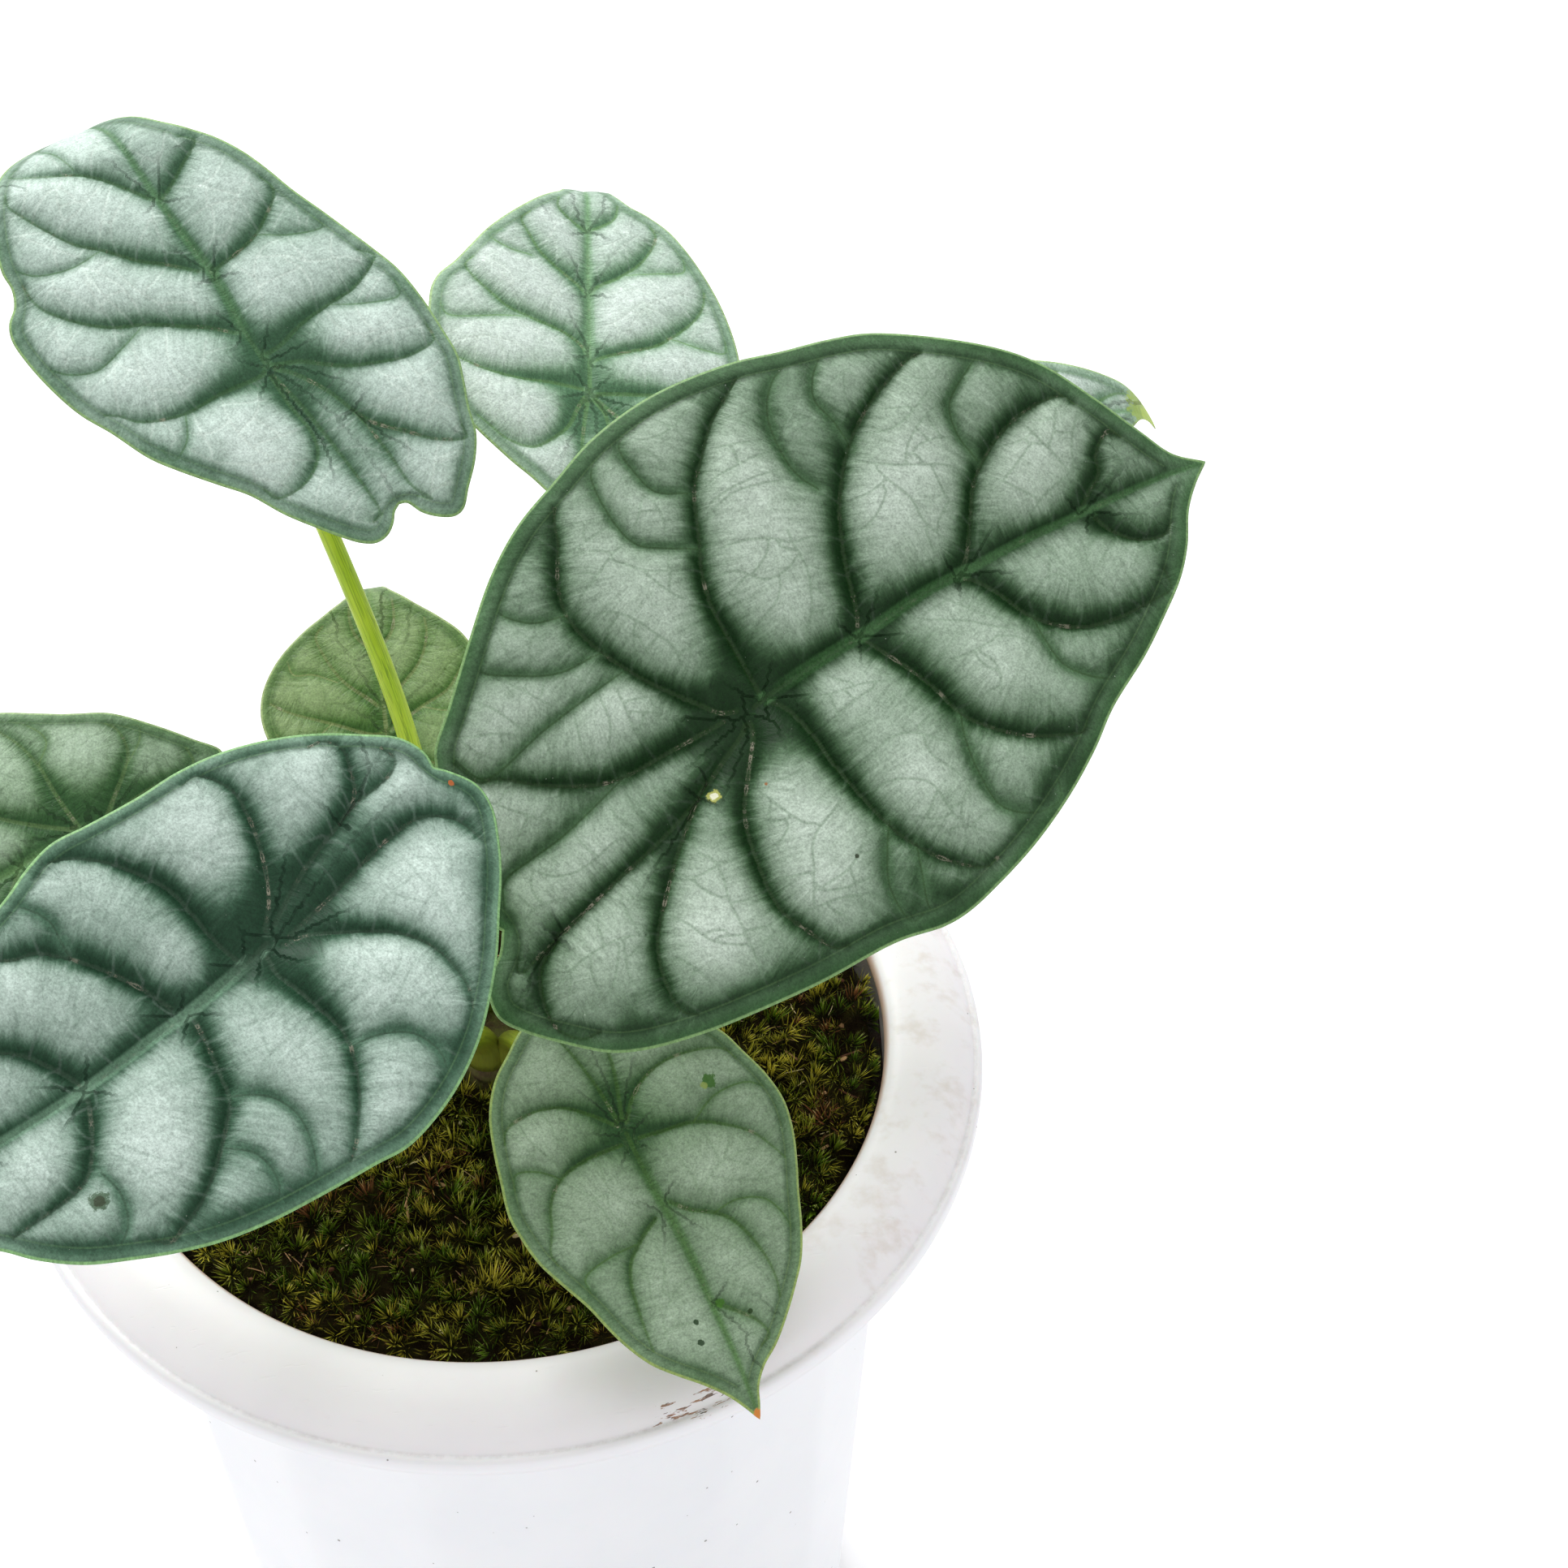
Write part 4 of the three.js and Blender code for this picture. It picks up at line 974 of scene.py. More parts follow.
    pale = f.layered(
        (0.24, 0.36, 0.17),
        (cloud, (0.30, 0.42, 0.22)),
        (from_rib.ramp(1.6, 0.6) * 0.7, (0.42, 0.50, 0.24)),
        (from_fine.ramp(0.5, 0.1) * 0.25, (0.13, 0.24, 0.10)),
        (from_vein.ramp(0.9, 0.3) * 0.5, (0.38, 0.47, 0.22)),
    )
    near_rib = from_rib.ramp(6.0, 0.5)
    height = grain * 0.07 + speckle * 0.06 - fine_line * 0.04 - beside_fine * 0.07
    height = height + streak * 0.35 * near_rib - vein_shade * 0.1
    height = height + hair * 0.12 * near_rib + scars * 0.12
    roughness = 0.44 + grain * 0.12 + under * 0.12 - outside * 0.04
    color = f.blend(under, tissue, pale)
    return f.surface(color, roughness, f.relief(height, 0.9), {"Specular IOR Level": 0.2})


# Stalks

def stalk_path(leaf):
    """The stalk's centre line, from the crown to the blade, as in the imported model."""
    navel, _, _, face = blade_frame(leaf)
    _, foot, bow = leaf["stalk"]
    start = on_circle(STALK_CIRCLE, math.radians(foot), CROWN_TOP + 0.3)
    rise = start + (0, 0, 5)
    end = navel - face * (1.3 + SUNKEN * leaf["depth"])
    neck = navel - face * 7 - unit(navel - rise) * 4
    square = end - face * 2
    middle = (rise + neck) / 2 + bow
    return curve_through([start, rise, middle, neck, square, end], 1.6)


def make_stalk(name, leaf, finish):
    """A fleshy stalk that widens into a sheathing base and flares where it meets the blade."""
    path = stalk_path(leaf)
    width = leaf["stalk"][0]
    along = lengths_along(path)
    columns = 32
    around = full_turn(columns)
    side = np.cross(UP, path[0])
    rows = []
    for place, direction, a in zip(path, unit(np.gradient(path, axis=0)), along):
        side = unit(side - direction * side.dot(direction))
        front = np.cross(side, direction)
        base = math.exp(-a / 16)
        flare = math.exp(-(along[-1] - a) / 2.6)
        radius = width / 2 * (1.0 + 0.28 * base - 0.1 * a / along[-1] + 0.35 * flare)
        groove = 0.16 * base * np.exp(-((np.cos(around) + 1) / 0.35) ** 2)
        shape = radius * (1 - groove + 0.012 * np.sin(9 * around + 1.0))
        across = np.sin(around) * shape * (1 + 0.25 * base)
        rows.append(place + across[:, None] * side + (np.cos(around) * shape)[:, None] * front)
    rows.insert(0, rows[0] - (0, 0, STALK_ROOT))
    places = np.vstack(rows + [rows[0].mean(0)[None], rows[-1].mean(0)[None]])
    length = np.append(np.repeat([-STALK_ROOT, *along], columns), [-STALK_ROOT, along[-1]])
    turn = np.append(np.tile(around, len(rows)), [0.0, 0.0])
    measures = {
        "along_stalk": length,
        "to_blade": along[-1] - length,
        "stalk_place": on_circle(width, turn, length),
    }
    piece = build("stalk_" + name, places, tube_faces(len(rows), columns), finish, measures)
    settle(piece, "stalk", "leaf_stalk_" + name)


def stalk_finish():
    """Bright yellow-green with fine dark lengthwise lines, darker marks and a brown foot, partly its own
    colour and partly painted shade low in the crown.
    """
    f = Finish("stalk_green")
    place = f.where("stalk_place")
    along_stalk, to_blade = f.measures("along_stalk", "to_blade")
    long_lines = f.noise(f.stretch(place, 1.0, 1.0, 0.035), 0.42, 2.0, 0.6)
    marks = f.noise(f.stretch(f.shift(place, 3, 8, 2), 1.0, 1.0, 0.22), 1.9, 3.0, 0.6)
    cloud = f.noise(place, 9.0, 2.0)
    color = f.layered(
        (0.46, 0.66, 0.02),
        (cloud.ramp(0.3, 0.7), (0.56, 0.74, 0.035)),
        (long_lines.ramp(0.5, 0.62) * 0.55, (0.20, 0.35, 0.01)),
        (marks.ramp(0.56, 0.68) * 0.6, (0.15, 0.28, 0.008)),
        # The foot: partly its own brown, partly painted shade low among the stalks.
        (along_stalk.ramp(34.0, 2.0) * 0.8, (0.17, 0.15, 0.03)),
        (to_blade.ramp(12.0, 1.0) * 0.45, (0.20, 0.33, 0.06)),
    )
    height = (long_lines - 0.5) * 0.12 + (marks - 0.5) * 0.05
    return f.surface(color, 0.34 + marks * 0.14, f.relief(height, 0.7), WAXY)


# Crown and dry sheaths

def make_crown(finish):
    """The short stem: a ringed, lumpy stump whose top carries the stalks' feet."""
    rows, columns = 40, 72
    share = np.linspace(0, 1, rows)[:, None]
    around = full_turn(columns)
    radius = 10.2 - 0.7 * share + 0.35 * np.sin(share * 21) * (share < 0.92)
    radius = np.where(share > 0.9, radius - 2.6 * ((share - 0.9) / 0.1) ** 2, radius)
    feet = [math.radians(leaf["stalk"][1]) for leaf in LEAVES.values()]
    bulge = sum(np.exp(-(np.angle(np.exp(1j * (around - foot))) / 0.28) ** 2) for foot in feet)
    radius = radius * (0.93 + 0.09 * bulge * share + 0.02 * np.sin(5 * around + 9 * share))
    heights = CROWN_FOOT + share * (CROWN_TOP - CROWN_FOOT)
    side = on_circle(np.minimum(radius, CROWN_RADIUS), around, heights)
    top = on_circle(np.array([[5.0], [2.5]]), around, CROWN_TOP + 0.1)
    centres = [[0, 0, CROWN_FOOT], [0, 0, CROWN_TOP + 0.6]]
    places = np.vstack([*side, *top, centres])
    piece = build("crown_stem", places, tube_faces(len(side) + len(top), columns), finish)
    settle(piece, "crown", "crown")


def crown_finish():
    """Brown and olive, with pale fibres along it."""
    f = Finish("crown_tissue")
    place = f.where()
    fibre = f.noise(f.stretch(place, 1.0, 1.0, 0.15), 1.1, 3.0, 0.65)
    patches = f.noise(place, 3.5, 3.0)
    color = f.layered(
        (0.12, 0.08, 0.035),
        (patches.ramp(0.35, 0.65), (0.17, 0.17, 0.04)),
        (fibre.ramp(0.55, 0.7) * 0.7, (0.30, 0.21, 0.10)),
    )
    return f.surface(color, 0.75, f.relief(fibre * 0.5 + patches * 0.4, 0.9))


def make_sheath(name, facing, half_width, height, finish, chance):
    """A dry bract: a thin curled sheet with a torn, fibrous top."""
    columns, rows = 44, 34
    across = np.linspace(-1, 1, columns)
    tears = range(1, 12)
    waves = [chance.uniform(0.1, 1.0) * np.sin(k * across * 3.1 + chance.uniform(0, 6)) for k in tears]
    top = height * (1 - 0.35 * across ** 2 + 0.3 * sum(waves) / len(tears))
    share = np.linspace(0, 1, rows)[:, None]
    taper = np.sqrt(1 - 0.86 * share)
    angle = np.radians(facing + half_width * taper * across + 5 * share * np.sin(7 * share))
    radius = 11.0 + 0.22 * height * share + 0.35 * np.sin(14 * across) * (0.3 + share)
    front = on_circle(radius + 0.9 * (share * across) ** 2, angle, SHEATH_FOOT + top * share)
    thick = np.linspace(0.5, 0.18, rows)[:, None, None]
    back = front + unit(front * (-1, -1, 0)) * thick
    count = rows * columns
    outer = grid_faces(rows, columns)
    grid = np.arange(count).reshape(rows, columns)
    rim = np.concatenate([grid[0, :], grid[1:, -1], grid[-1, -2::-1], grid[-2:0:-1, 0]])
    following = np.roll(rim, -1)
    sides = np.stack([following, rim, rim + count, following + count], axis=1)
    measures = {"up_sheath": np.tile(np.repeat(share, columns), 2)}
    faces = [outer, outer[:, ::-1] + count, sides]
    piece = build("sheath_" + name, np.vstack([*front, *back]), faces, finish, measures)
    settle(piece, "dry_sheath", "dry_sheath_" + name)


def sheath_finish():
    """Tan fibres with brown patches, darker at the foot."""
    f = Finish("sheath_dry")
    place = f.where()
    fibre = f.noise(f.stretch(place, 1.0, 1.0, 0.09), 0.5, 3.0, 0.65)
    patches = f.noise(place, 3.0, 2.0)
    (up_sheath,) = f.measures("up_sheath")
    color = f.layered(
        (0.20, 0.12, 0.05),
        (fibre.ramp(0.35, 0.65), (0.48, 0.34, 0.17)),
        (patches.ramp(0.5, 0.7) * 0.5, (0.13, 0.07, 0.03)),
        (up_sheath.ramp(0.35, 0.0) * 0.6, (0.09, 0.05, 0.02)),
    )
    return f.surface(color, 0.8, f.relief(fibre * 0.25, 0.9))


# Moss

def moss_height(radius):
    """The moss's domed top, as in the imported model."""
    share = np.clip((radius - CROWN_RADIUS) / (MOSS_WALL - CROWN_RADIUS), 0, 1)
    return 215.5 + 3.5 * (1 - share * share)


def wall_rise(radius):
    """How far the shoots climb where the moss meets the wall."""
    return 4.0 * smooth_step(radius, 66, MOSS_WALL)


def lumps(x, y):
    """The unevenness of the moss."""
    return (0.72 * np.sin(x / 5.3 + 0.7) * np.sin(y / 4.7 + 0.4) + 0.54 * np.sin(x / 2.9 + y / 3.7)
            + 0.36 * np.sin(y / 1.9 - x / 2.3))


def make_moss_base(finish):
    """The matted lower part of the moss, lumpy and dark."""
    columns = 220
    around = full_turn(columns)
    rows = []
    for r in (10.75, *np.linspace(11.2, 78.5, 62), 79.8):
        x, y = r * np.cos(around), r * np.sin(around)
        z = moss_height(r) + wall_rise(r) * 0.6 - 1.9 + lumps(x, y) * min(1, (82 - r) / 6)
        rows.append(np.column_stack([x, y, z]))
    wall_side = [(80.3, 213.6), (80.4, 212.4), (80.3, 210.9)]
    underside = [(60.0, 210.5), (30.0, 210.5), (10.75, 210.5)]
    rows += [on_circle(r, around, z) for r, z in wall_side + underside]
    faces = grid_faces(len(rows) + 1, columns, around=True) % (len(rows) * columns)
    piece = build("moss_mat", np.vstack(rows), faces[:, ::-1], finish)
    settle(piece, "moss", "moss_cushion")


def make_tufts(name, centres, finish, chance):
    """Moss shoots: slender folded leaves that spread from each short stem like a brush."""
    leaves = 26
    count = len(centres)
    x, y = centres.T
    shoot_size = chance.uniform(0.7, 1.3, count) * (1.0 + 0.35 * (chance.random(count) < 0.12))
    hue = chance.normal(0.5, 0.22, count) + 0.25 * np.sin(x / 13 + 1) * np.sin(y / 11)
    hue = hue + 1.2 * (chance.random(count) < 0.1)
    radius = np.hypot(x, y)
    lean = 0.7 * smooth_step(radius, 70, MOSS_WALL)[:, None] * centres / radius[:, None]
    axis = unit(np.column_stack([chance.normal(0, 0.35, (count, 2)) + lean, np.ones(count)]))
    side = unit(np.cross(axis, (1.0, 0.2, 0.0)))
    front = np.cross(axis, side)
    height = moss_height(radius) + wall_rise(radius) + lumps(x, y) - 1.5 + chance.uniform(-1.2, 1.0, count)
    root = np.column_stack([x, y, height])

    shoot = np.repeat(np.arange(count), leaves)
    level = np.tile(np.arange(leaves) / leaves, count)
    total = len(shoot)
    turn = np.tile(np.arange(leaves) * LEAF_TURN, count) + chance.uniform(-0.4, 0.4, total)
    size = shoot_size[shoot]
    out = side[shoot] * np.cos(turn)[:, None] + front[shoot] * np.sin(turn)[:, None]
    spread = (1.2 - 0.95 * level) * chance.uniform(0.75, 1.2, total)
    length = size * (3.0 + 1.8 * (1 - level)) * chance.uniform(0.75, 1.25, total)
    width = size * chance.uniform(0.10, 0.16, total)
    base = root[shoot] + axis[shoot] * (2.4 * size * level)[:, None]
    direction = out * np.sin(spread)[:, None] + axis[shoot] * np.cos(spread)[:, None]
    across = unit(np.cross(direction, axis[shoot] + out * 0.01))
    upward = np.cross(across, direction)
    droop = (chance.uniform(-0.2, 0.35, total) * length)[:, None] * upward
    middle = base + direction * (length * 0.42)[:, None] + droop * 0.2
    end = base + direction * length[:, None] + droop
    half = across * width[:, None]
    keel = middle - upward * (width * 0.7)[:, None]
    corners = [base, middle + half, middle - half, keel, end]
    places = np.stack(corners, axis=1).reshape(-1, 3)
    reached = np.hypot(places[:, 0], places[:, 1])
    places[:, :2] *= np.minimum(1.0, WALL_RADIUS / reached)[:, None]
    pattern = np.array([(0, 4, 1), (0, 2, 4), (0, 1, 3), (1, 4, 3), (0, 3, 2), (3, 4, 2)])
    tone = np.repeat(hue[shoot] + chance.uniform(-0.15, 0.15, total), len(corners))
    tip = np.array([0.0, 0.55, 0.55, 0.4, 1.0]) * (0.35 + 0.65 * level)[:, None]
    measures = {"tone": tone, "tip": tip.ravel()}
    piece = build(name, places, repeated(pattern, total, len(corners)), finish, measures, smooth=False)
    settle(piece, "moss")


def rod_faces(rows, sides):
    """The triangles of one short closed rod."""
    faces = []
    for a, b, c, d in grid_faces(rows, sides, around=True):
        faces += [(a, b, c), (a, c, d)]
    top = (rows - 1) * sides
    for j in range(1, sides - 1):
        faces += [(0, j + 1, j), (top, top + j, top + j + 1)]
    return np.array(faces)


# Kinds of litter: the share of pieces up to it, its lengths and its thicknesses.
LITTER = [(0.55, (2.0, 4.5), (0.08, 0.14)), (0.65, (4.0, 7.0), (0.16, 0.3)), (1.0, (0.8, 2.0), (0.25, 0.7))]


def make_litter(finish, chance, count=420):
    """Straws, twigs and bark crumbs lying in the moss."""
    sides = 5
    turn = full_turn(sides)[:, None]
    rings = ((-0.5, 0.7), (-0.2, 1.0), (0.2, 1.0), (0.5, 0.7))
    places, shades = [], []
    for _ in range(count):
        radius = 77 * math.sqrt(chance.uniform(0.03, 1))
        centre = on_circle(radius, chance.uniform(0, 2 * math.pi), 0)
        kind = chance.random()
        lengths, widths = next(row[1:] for row in LITTER if kind < row[0])
        length, thick = chance.uniform(*lengths), chance.uniform(*widths)
        heading = chance.uniform(0, 2 * math.pi)
        direction = unit(on_circle(1, heading, chance.normal(0.1, 0.3)))
        side = unit(np.cross(direction, UP))
        front = np.cross(side, direction)
        top = moss_height(radius) + wall_rise(radius) + lumps(*centre[:2])
        centre[2] = top + 0.3 + chance.uniform(-0.8, 0.6)
        bend = chance.normal(0, 0.12) * length
        shades.append(chance.random() if kind > LITTER[0][0] else chance.uniform(0.5, 1.0))
        for s, narrowing in rings:
            r = thick * narrowing * chance.uniform(0.8, 1.2)
            middle = centre + direction * s * length + side * bend * (0.25 - s * s)
            places.append(middle + r * (np.cos(turn) * side + 0.6 * np.sin(turn) * front))
    points = len(rings) * sides
    faces = repeated(rod_faces(len(rings), sides), count, points)
    measures = {"tone": np.repeat(shades, points)}
    piece = build("moss_litter", np.vstack(places), faces, finish, measures, smooth=False)
    settle(piece, "moss")


def tuft_centres(chance, apart):
    """Points about a set distance apart over the moss, clear of the crown and the wall."""
    steps = np.arange(-MOSS_EDGE, MOSS_EDGE, apart)
    rows = np.arange(-MOSS_EDGE, MOSS_EDGE, apart * 0.87)
    grid = np.array([(x + (i % 2) * apart / 2, y) for i, y in enumerate(rows) for x in steps])
    grid = grid + chance.uniform(-0.42, 0.42, grid.shape) * apart
    radius = np.hypot(grid[:, 0], grid[:, 1])
    return grid[(radius < 79.6) & (radius > 12.5)]


def moss_finish():
    """Dark at the foot of each moss leaf, green to yellow above, with some brown shoots and pale tips."""
    f = Finish("moss_leaf")
    tone, tip = f.measures("tone", "tip")
    wide = tone + (f.noise(f.where(), 16, 2.0) - 0.5) * 1.2
    fresh = f.layered(
        (0.14, 0.27, 0.012),
        (wide.ramp(0.15, 1.0), (0.98, 0.84, 0.09)),
        (wide.ramp(1.3, 1.6), (0.34, 0.13, 0.05)),
    )
    color = f.layered(
        (0.008, 0.009, 0.001),
        (tip.ramp(0.15, 0.85), fresh),
        (tip.ramp(0.6, 1.0) * 0.8, (1.0, 0.94, 0.42)),
    )
    return f.surface(color, 0.6, plain={"Specular IOR Level": 0.08})


def mat_finish():
    """Nearly black, with brown grains."""
    f = Finish("moss_mat")
    place = f.where()
    grains = f.noise(place, 0.9, 4.0, 0.7)
    patch = f.noise(place, 6, 3.0)
    color = f.layered(
        (0.012, 0.007, 0.003),
        (patch.ramp(0.4, 0.65), (0.028, 0.024, 0.006)),
        (grains.ramp(0.55, 0.75), (0.07, 0.04, 0.018)),
    )
    return f.surface(color, 0.95, f.relief(grains * 0.8 + patch * 0.5), {"Specular IOR Level": 0.05})


def litter_finish():
    """Dark bark to pale straw, by each piece's tone."""
    f = Finish("litter_brown")
    (tone,) = f.measures("tone")
    fibre = f.noise(f.where(), 0.5, 3.0, 0.6)
    color = f.layered(
        (0.08, 0.03, 0.014),
        (tone.ramp(0.2, 0.8), (0.46, 0.27, 0.13)),
        (tone.ramp(0.85, 0.95), (0.75, 0.62, 0.34)),
        (fibre.ramp(0.45, 0.7) * 0.5, (0.04, 0.018, 0.01)),
    )
    return f.surface(color, 0.8, f.relief(fibre * 0.2, 0.8), {"Specular IOR Level": 0.15})


# Pot

def outer_radius(height):
    """The radius of the pot's tapered wall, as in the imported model."""
    return FOOT_RADIUS + (TOP_RADIUS - FOOT_RADIUS) * height / LIP_TOP


def pot_profile():
    """Radii and heights up the outside from the middle of the foot, over the rim and down to the floor."""
    rim = [(101.9, 219.3), (101, 220.5), (99.3, 222.1), (97, 223.5), (94, 224.6), (91, 225), (88.6, 225),
           (86.0, 224.7), (84.2, 223.9), (83.2, 222.8), (82.9, 221.6)]
    under_rim = [(87.0, 221), (88.2, 222.6), (90.5, 223.3), (94.5, 222.7), (98, 220.8), (100.8, 218.5),
                 (102.2, 216.6), (102.6, 214.8)]
    lip = [(102.75, 214.55), (103.0, 214.5), (103.8, 214.55), (104.15, 214.9), (104.25, 216.5),
           (104.1, 217.9), (103.8, 218.5), (103.3, 218.85), (102.9, 218.9), (102.5, 218.85), (102.2, 218.95)]
    foot = [(0, 0), (10, 0), (19.3, 0), (20.4, 0.3), (22.2, 2.2), (23, 2.5), (40, 2.5), (60, 2.5),
            (63.4, 2.5), (65, 2.1), (66.4, 0.4), (67.4, 0), (71.8, 0), (72.8, 0.25), (73.3, 0.8),
            (73.5, 1.6)]
    wall = [(outer_radius(z), z) for z in np.linspace(4, LIP_BOTTOM - 1, 26)]
    neck = [(outer_radius(217), 217.0), (86.4, 219.2)]
    outside = np.vstack([foot, wall, neck, curve_through(under_rim, 0.9), lip, curve_through(rim, 0.55)])
    shoulder = [(83.1, 220), (84.2, 218.4)]
    inner_wall = [(outer_radius(z) - POT_WALL, z) for z in (217.0, *np.linspace(LIP_BOTTOM - 1, 8, 24))]
    floor = [(71.4, 6.2), (70.1, 4.6), (68.5, 4.2), (50, 4.2), (20, 4.2), (0, 4.2)]
    return np.vstack([outside, shoulder, inner_wall, floor]), len(outside) + len(shoulder)


def panelled(around):
    """The share of the radius that the panels leave to the wall, at each angle."""
    panel = 2 * math.pi / PANELS
    in_panel = np.mod(around - math.radians(PANEL_EDGE), panel) - panel / 2
    softened = np.sqrt(in_panel ** 2 + 0.0001)
    flat = math.cos(panel / 2) / np.cos(np.minimum(softened, panel / 2 - 0.012))
    return 1 + 0.8 * (flat - 1)


def drill_floor(piece):
    """Cuts the drain holes in the pot's floor."""
    drills = bpy.data.meshes.new("drills")
    shape = bmesh.new()
    for angle in full_turn(DRAIN_HOLES):
        spot = Matrix.Translation(Vector(on_circle(44, angle, 3.4)) * MM)
        size = {"radius1": 3.5 * MM, "radius2": 3.5 * MM, "depth": 12 * MM}
        bmesh.ops.create_cone(shape, cap_ends=True, segments=40, matrix=spot, **size)
    shape.to_mesh(drills)
    shape.free()
    drill = bpy.data.objects.new("drills", drills)
    bpy.context.scene.collection.objects.link(drill)
    cut = piece.modifiers.new("drain_holes", "BOOLEAN")
    cut.object = drill
    cut.operation = "DIFFERENCE"
    cut.solver = "EXACT"
    depsgraph = bpy.context.evaluated_depsgraph_get()
    cut_mesh = bpy.data.meshes.new_from_object(piece.evaluated_get(depsgraph))
    piece.modifiers.clear()
    piece.data = cut_mesh
    bpy.data.objects.remove(drill)
    bpy.data.meshes.remove(drills)


def make_pot(finish):
    """One moulding: a faintly panelled body, a wide rolled rim with a fine ridge, and a footed floor."""
    profile, first_inside = pot_profile()
    columns = 224
    around = full_turn(columns) + math.radians(PANEL_EDGE)
    body = panelled(around)
    rows = []
    for r, z in profile[1:-1]:
        on_body = z <= LIP_BOTTOM - 0.9 and r > 38
        rows.append(on_circle(r * body if on_body else r, around, z))
    places = np.vstack(rows + [[(0, 0, z) for _, z in (profile[0], profile[-1])]])
    within = np.arange(1, len(rows) + 1) >= first_inside
    measures = {"inside": np.append(np.repeat(within, columns), [0, 1])}
    piece = build("plastic_pot", places, tube_faces(len(rows), columns), finish, measures)
    drill_floor(piece)
    settle(piece, "pot", "pot")


def pot_finish():
    """White moulded plastic with handling marks, scratches, a soiled inner edge and an inside wall darkened
    partly by a wet brown stain and partly by painted shade.
    """
    f = Finish("pot_plastic")
    place = f.where()
    x, y, z = f.parts(place)
    radius = (x * x + y * y) ** 0.5
    mottle = f.noise(place, 22, 3.0)
    on_rim = (z - LIP_TOP).ramp(-1.5, 1.5)
    body_white = f.blend(mottle.ramp(0.35, 0.65), (0.92, 0.925, 0.965), (0.945, 0.945, 0.98))
    rim_white = f.blend(mottle.ramp(0.35, 0.65), (0.93, 0.905, 0.94), (0.96, 0.935, 0.965))

    film = f.noise(f.stretch(place, 1.0, 1.0, 0.5), 9, 4.0, 0.65)
    stain = film.ramp(0.5, 0.75) * (x - y * 0.3 - 40).ramp(0, 60) * on_rim
    speck_size = f.noise(f.shift(place, 4, 4, 4), 5.0, 1.0)
    dots = (speck_size.ramp(0.42, 0.75) * 0.075 - f.cells(place, 5.2)).ramp(-0.012, 0.012)
    grime = f.noise(f.shift(place, 40, 10, 5), 2.2, 5.0, 0.75)
    soil = f.blend(grime.ramp(0.42, 0.66), (0.36, 0.16, 0.06), (0.03, 0.022, 0.02))

    across, inward = (x - 32.0) / 13.0, (radius - 101.3) / 3.0
    front = (0.0 - y).ramp(60.0, 70.0) * (z - 210.0).ramp(0.0, 2.0)
    scuffed = (across * across + inward * inward).ramp(1.1, 0.1) * front
    turned = x.angle_from(0.0 - y)
    rubbed = f.noise(f.place(turned * 100 * 0.14, radius, 7.0), 0.62, 3.0, 0.65)
    scuffs = (rubbed + scuffed * 0.12).ramp(0.66, 0.70) * scuffed.ramp(0.0, 0.3)
    edge_soil = (radius - 83.5).ramp(0.9, -0.5) * (z - 218).ramp(-2, 1) * (z - 224.2).ramp(0.4, -0.6)
    (inside_pot,) = f.measures("inside")
    # The inside wall darkens towards its top: partly a wet brown stain, partly painted shade inside the pot.
    inner = inside_pot.ramp(0.3, 0.9) * (z - 160).ramp(0, 40)
    # Darker in patches along the fine groove at the top of the lip.
    from_groove = radius - 102.45
    groove_darkening = from_groove.ramp(-0.5, -0.1) * from_groove.ramp(0.9, 0.3) * (z - 218.7).ramp(-0.6, 0)
    white = f.layered(
        body_white,
        (on_rim, rim_white),
        (stain * 0.4, (0.62, 0.52, 0.42)),
        (dots * 0.75, (0.10, 0.07, 0.05)),
        (scuffs * 0.9, soil),
        (edge_soil * 0.75, (0.45, 0.22, 0.09)),
        (inner * 0.7, (0.20, 0.15, 0.10)),
        (groove_darkening * grime.ramp(0.3, 0.7) * 0.2, (0.25, 0.22, 0.2)),
    )
    scratches = f.noise(f.stretch(place, 0.16, 1.0, 1.0), 1.0, 2.0, 0.5)
    height = mottle * 0.3 + scratches.ramp(0.66, 0.74) * -0.05 + film * 0.04
    rough = 0.34 + film * 0.16 + dots * 0.2 + scuffed * grime * 0.3
    return f.surface(white, rough, f.relief(height, 0.6), WAXY)


def mix_finish():
    """Dark damp bark and peat."""
    f = Finish("potting_mix")
    place = f.where()
    grain = f.noise(place, 1.2, 4.0, 0.7)
    bits = f.blend(0.5, (0.035, 0.022, 0.012), f.cells(place, 3.5, out=1), "MULTIPLY")
    color = f.blend(grain.ramp(0.6, 0.75), bits, (0.13, 0.08, 0.045))
    return f.surface(color, 0.95, f.relief(grain * 1.5))


# Assembly

make_pot(pot_finish())

mix_node = bpy.data.objects["potting_mix"]
mix_node.data.materials.clear()
mix_node.data.materials.append(mix_finish())

chance = np.random.default_rng(11)
make_crown(crown_finish())
dry = sheath_finish()
make_sheath("1", -45, 34, 15.5, dry, chance)
make_sheath("2", 160, 28, 11, dry, chance)

green_stalk = stalk_finish()
for number, (name, leaf) in enumerate(LEAVES.items()):
    leaf_chance = np.random.default_rng(100 + number)
    look = LOOKS[leaf["look"]]
    make_leaf(name, leaf, leaf_finish(name, look, leaf["border"], MARKS.get(name, ())), leaf_chance)
    make_stalk(name, leaf, green_stalk)

make_moss_base(mat_finish())
moss_leaf = moss_finish()
centres = tuft_centres(chance, 3.7)
half = len(centres) // 2
make_tufts("moss_tufts_front", centres[:half], moss_leaf, chance)
make_tufts("moss_tufts_back", centres[half:], moss_leaf, chance)
make_litter(litter_finish(), chance)


# Stage, light and camera

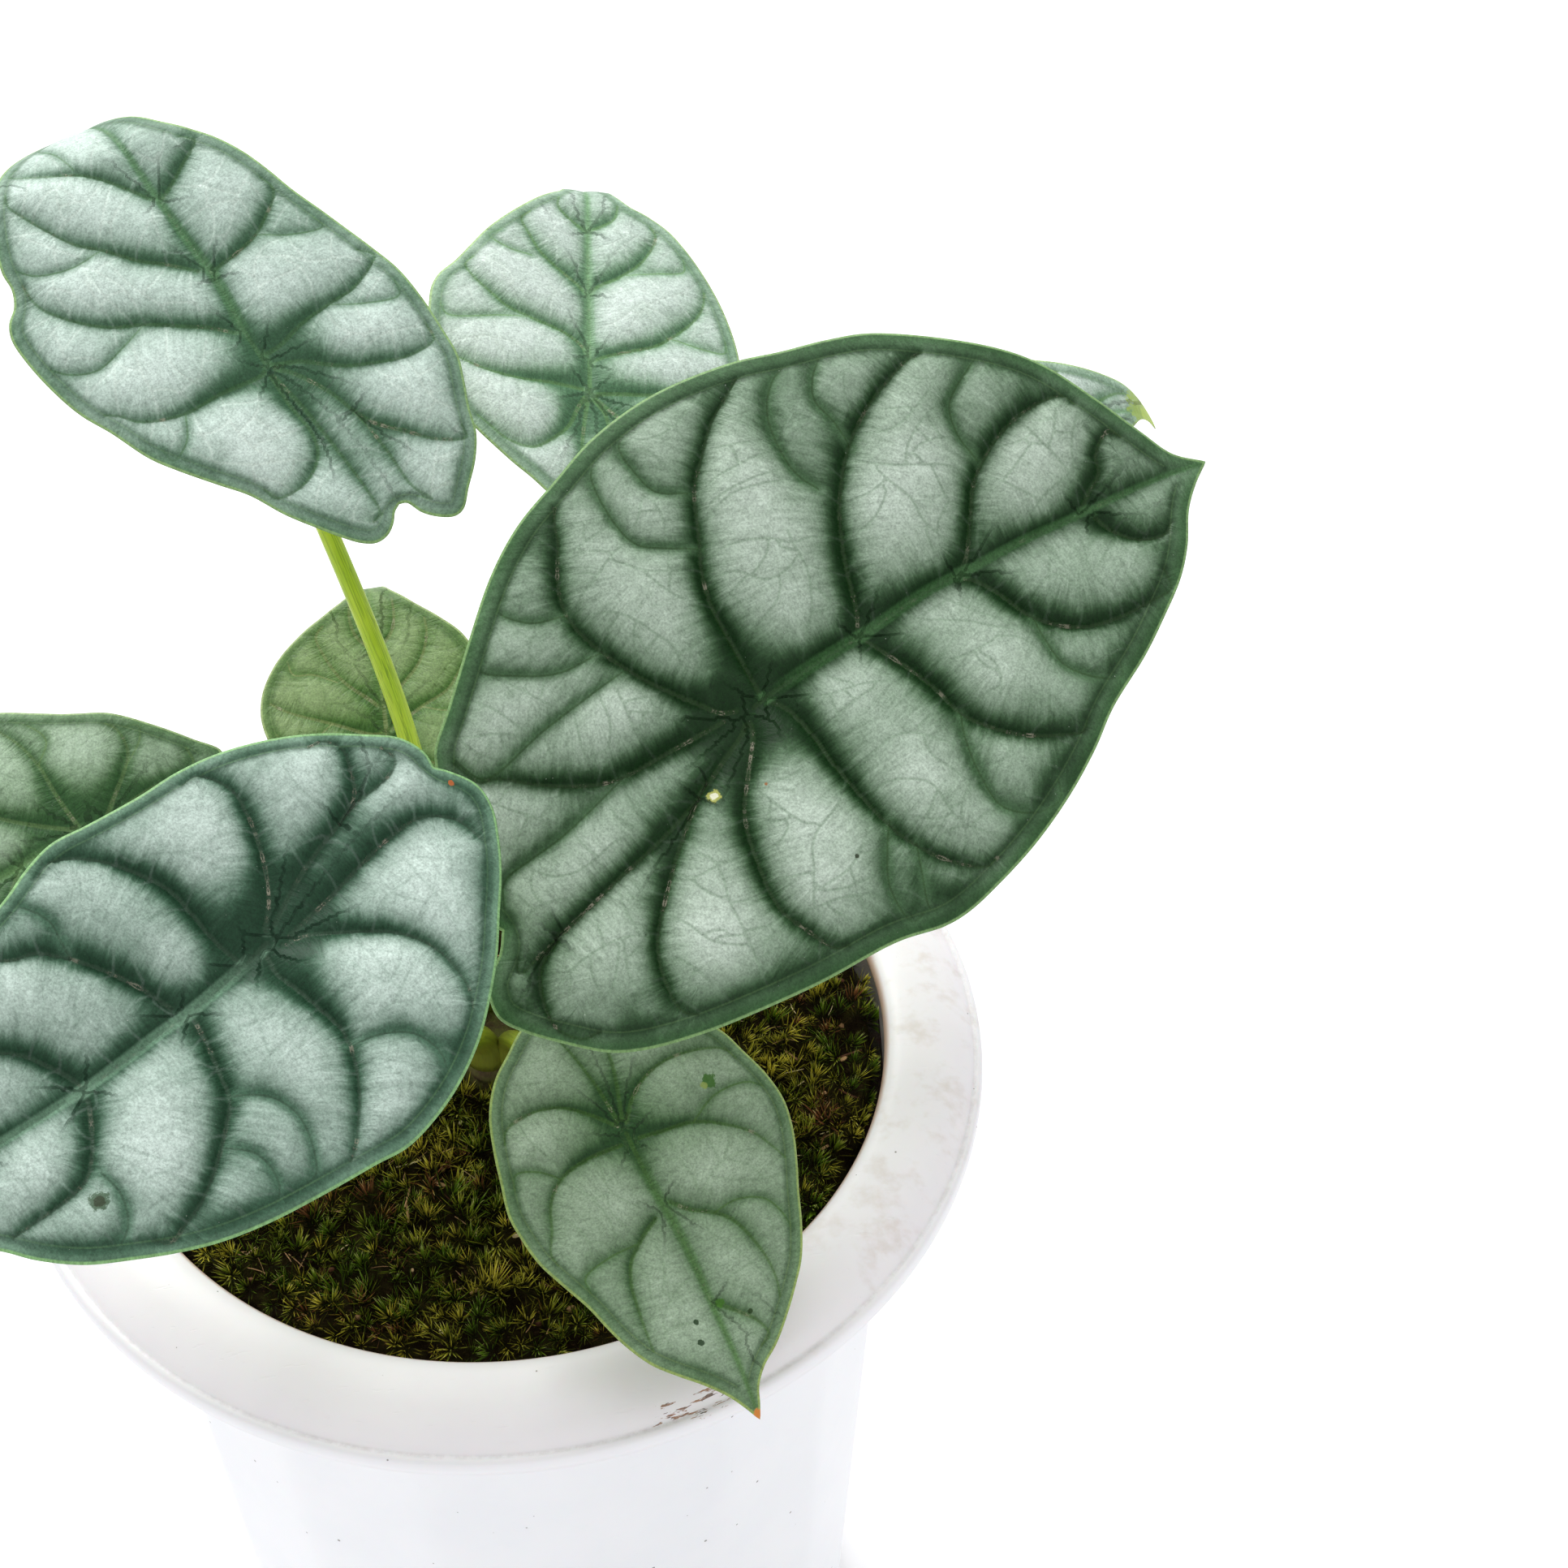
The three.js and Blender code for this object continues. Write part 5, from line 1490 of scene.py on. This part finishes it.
def make_floor():
    """A wide pale floor that glows a little."""
    f = Finish("floor_pale")
    color = f.blend(f.noise(f.where(), 400, 2.0), (0.90, 0.90, 0.91), (0.93, 0.93, 0.935))
    glow = {"Emission Color": (1.0, 1.0, 1.0, 1.0), "Emission Strength": 0.10}
    places = 6000.0 * np.array([(-1, -1, 0), (1, -1, 0), (1, 1, 0), (-1, 1, 0)])
    build("floor", places, np.array([[0, 1, 2, 3]]), f.surface(color, 0.6, plain=glow))


def make_light(name, place, size, power, target=(0, 0, 290)):
    """A rectangular lamp that faces the leaves."""
    light = bpy.data.lights.new(name, "AREA")
    light.shape = "RECTANGLE"
    light.size, light.size_y = (s * MM for s in size)
    light.energy = power
    holder = bpy.data.objects.new(name, light)
    holder.location = Vector(place) * MM
    holder.rotation_mode = "QUATERNION"
    holder.rotation_quaternion = (Vector(target) * MM - holder.location).to_track_quat("-Z", "Y")
    bpy.context.scene.collection.objects.link(holder)


def make_world(strength):
    world = bpy.data.worlds.new("studio")
    world.use_nodes = True
    background = world.node_tree.nodes["Background"]
    background.inputs["Color"].default_value = (1.0, 1.0, 1.0, 1.0)
    background.inputs["Strength"].default_value = strength
    bpy.context.scene.world = world


def make_camera():
    """Looks down on the pot from the front, a little to the right of it."""
    yaw, pitch, roll = (math.radians(a) for a in (7.84, 45.69, -0.7))
    ahead = Vector((math.sin(yaw) * math.cos(pitch), math.cos(yaw) * math.cos(pitch), -math.sin(pitch)))
    right = Vector((math.cos(yaw), -math.sin(yaw), 0))
    up = right.cross(ahead)
    turned_right = right * math.cos(roll) + up * math.sin(roll)
    turned_up = up * math.cos(roll) - right * math.sin(roll)
    camera = bpy.data.cameras.new("camera")
    camera.sensor_width = 36
    camera.lens = 74.5
    camera.clip_start, camera.clip_end = 0.05, 30
    holder = bpy.data.objects.new("camera", camera)
    holder.matrix_world = Matrix((
        (turned_right.x, turned_up.x, -ahead.x, 0),
        (turned_right.y, turned_up.y, -ahead.y, -454.3 * MM),
        (turned_right.z, turned_up.z, -ahead.z, 761.2 * MM),
        (0, 0, 0, 1),
    ))
    bpy.context.scene.collection.objects.link(holder)
    bpy.context.scene.camera = holder


make_floor()
make_world(0.79)
make_light("back_left_soft", (-330, 1000, 1270), (700, 600), 16)
make_light("top_soft", (100, 100, 1560), (900, 900), 2)
make_camera()
scene = bpy.context.scene
scene.view_settings.view_transform = "Standard"
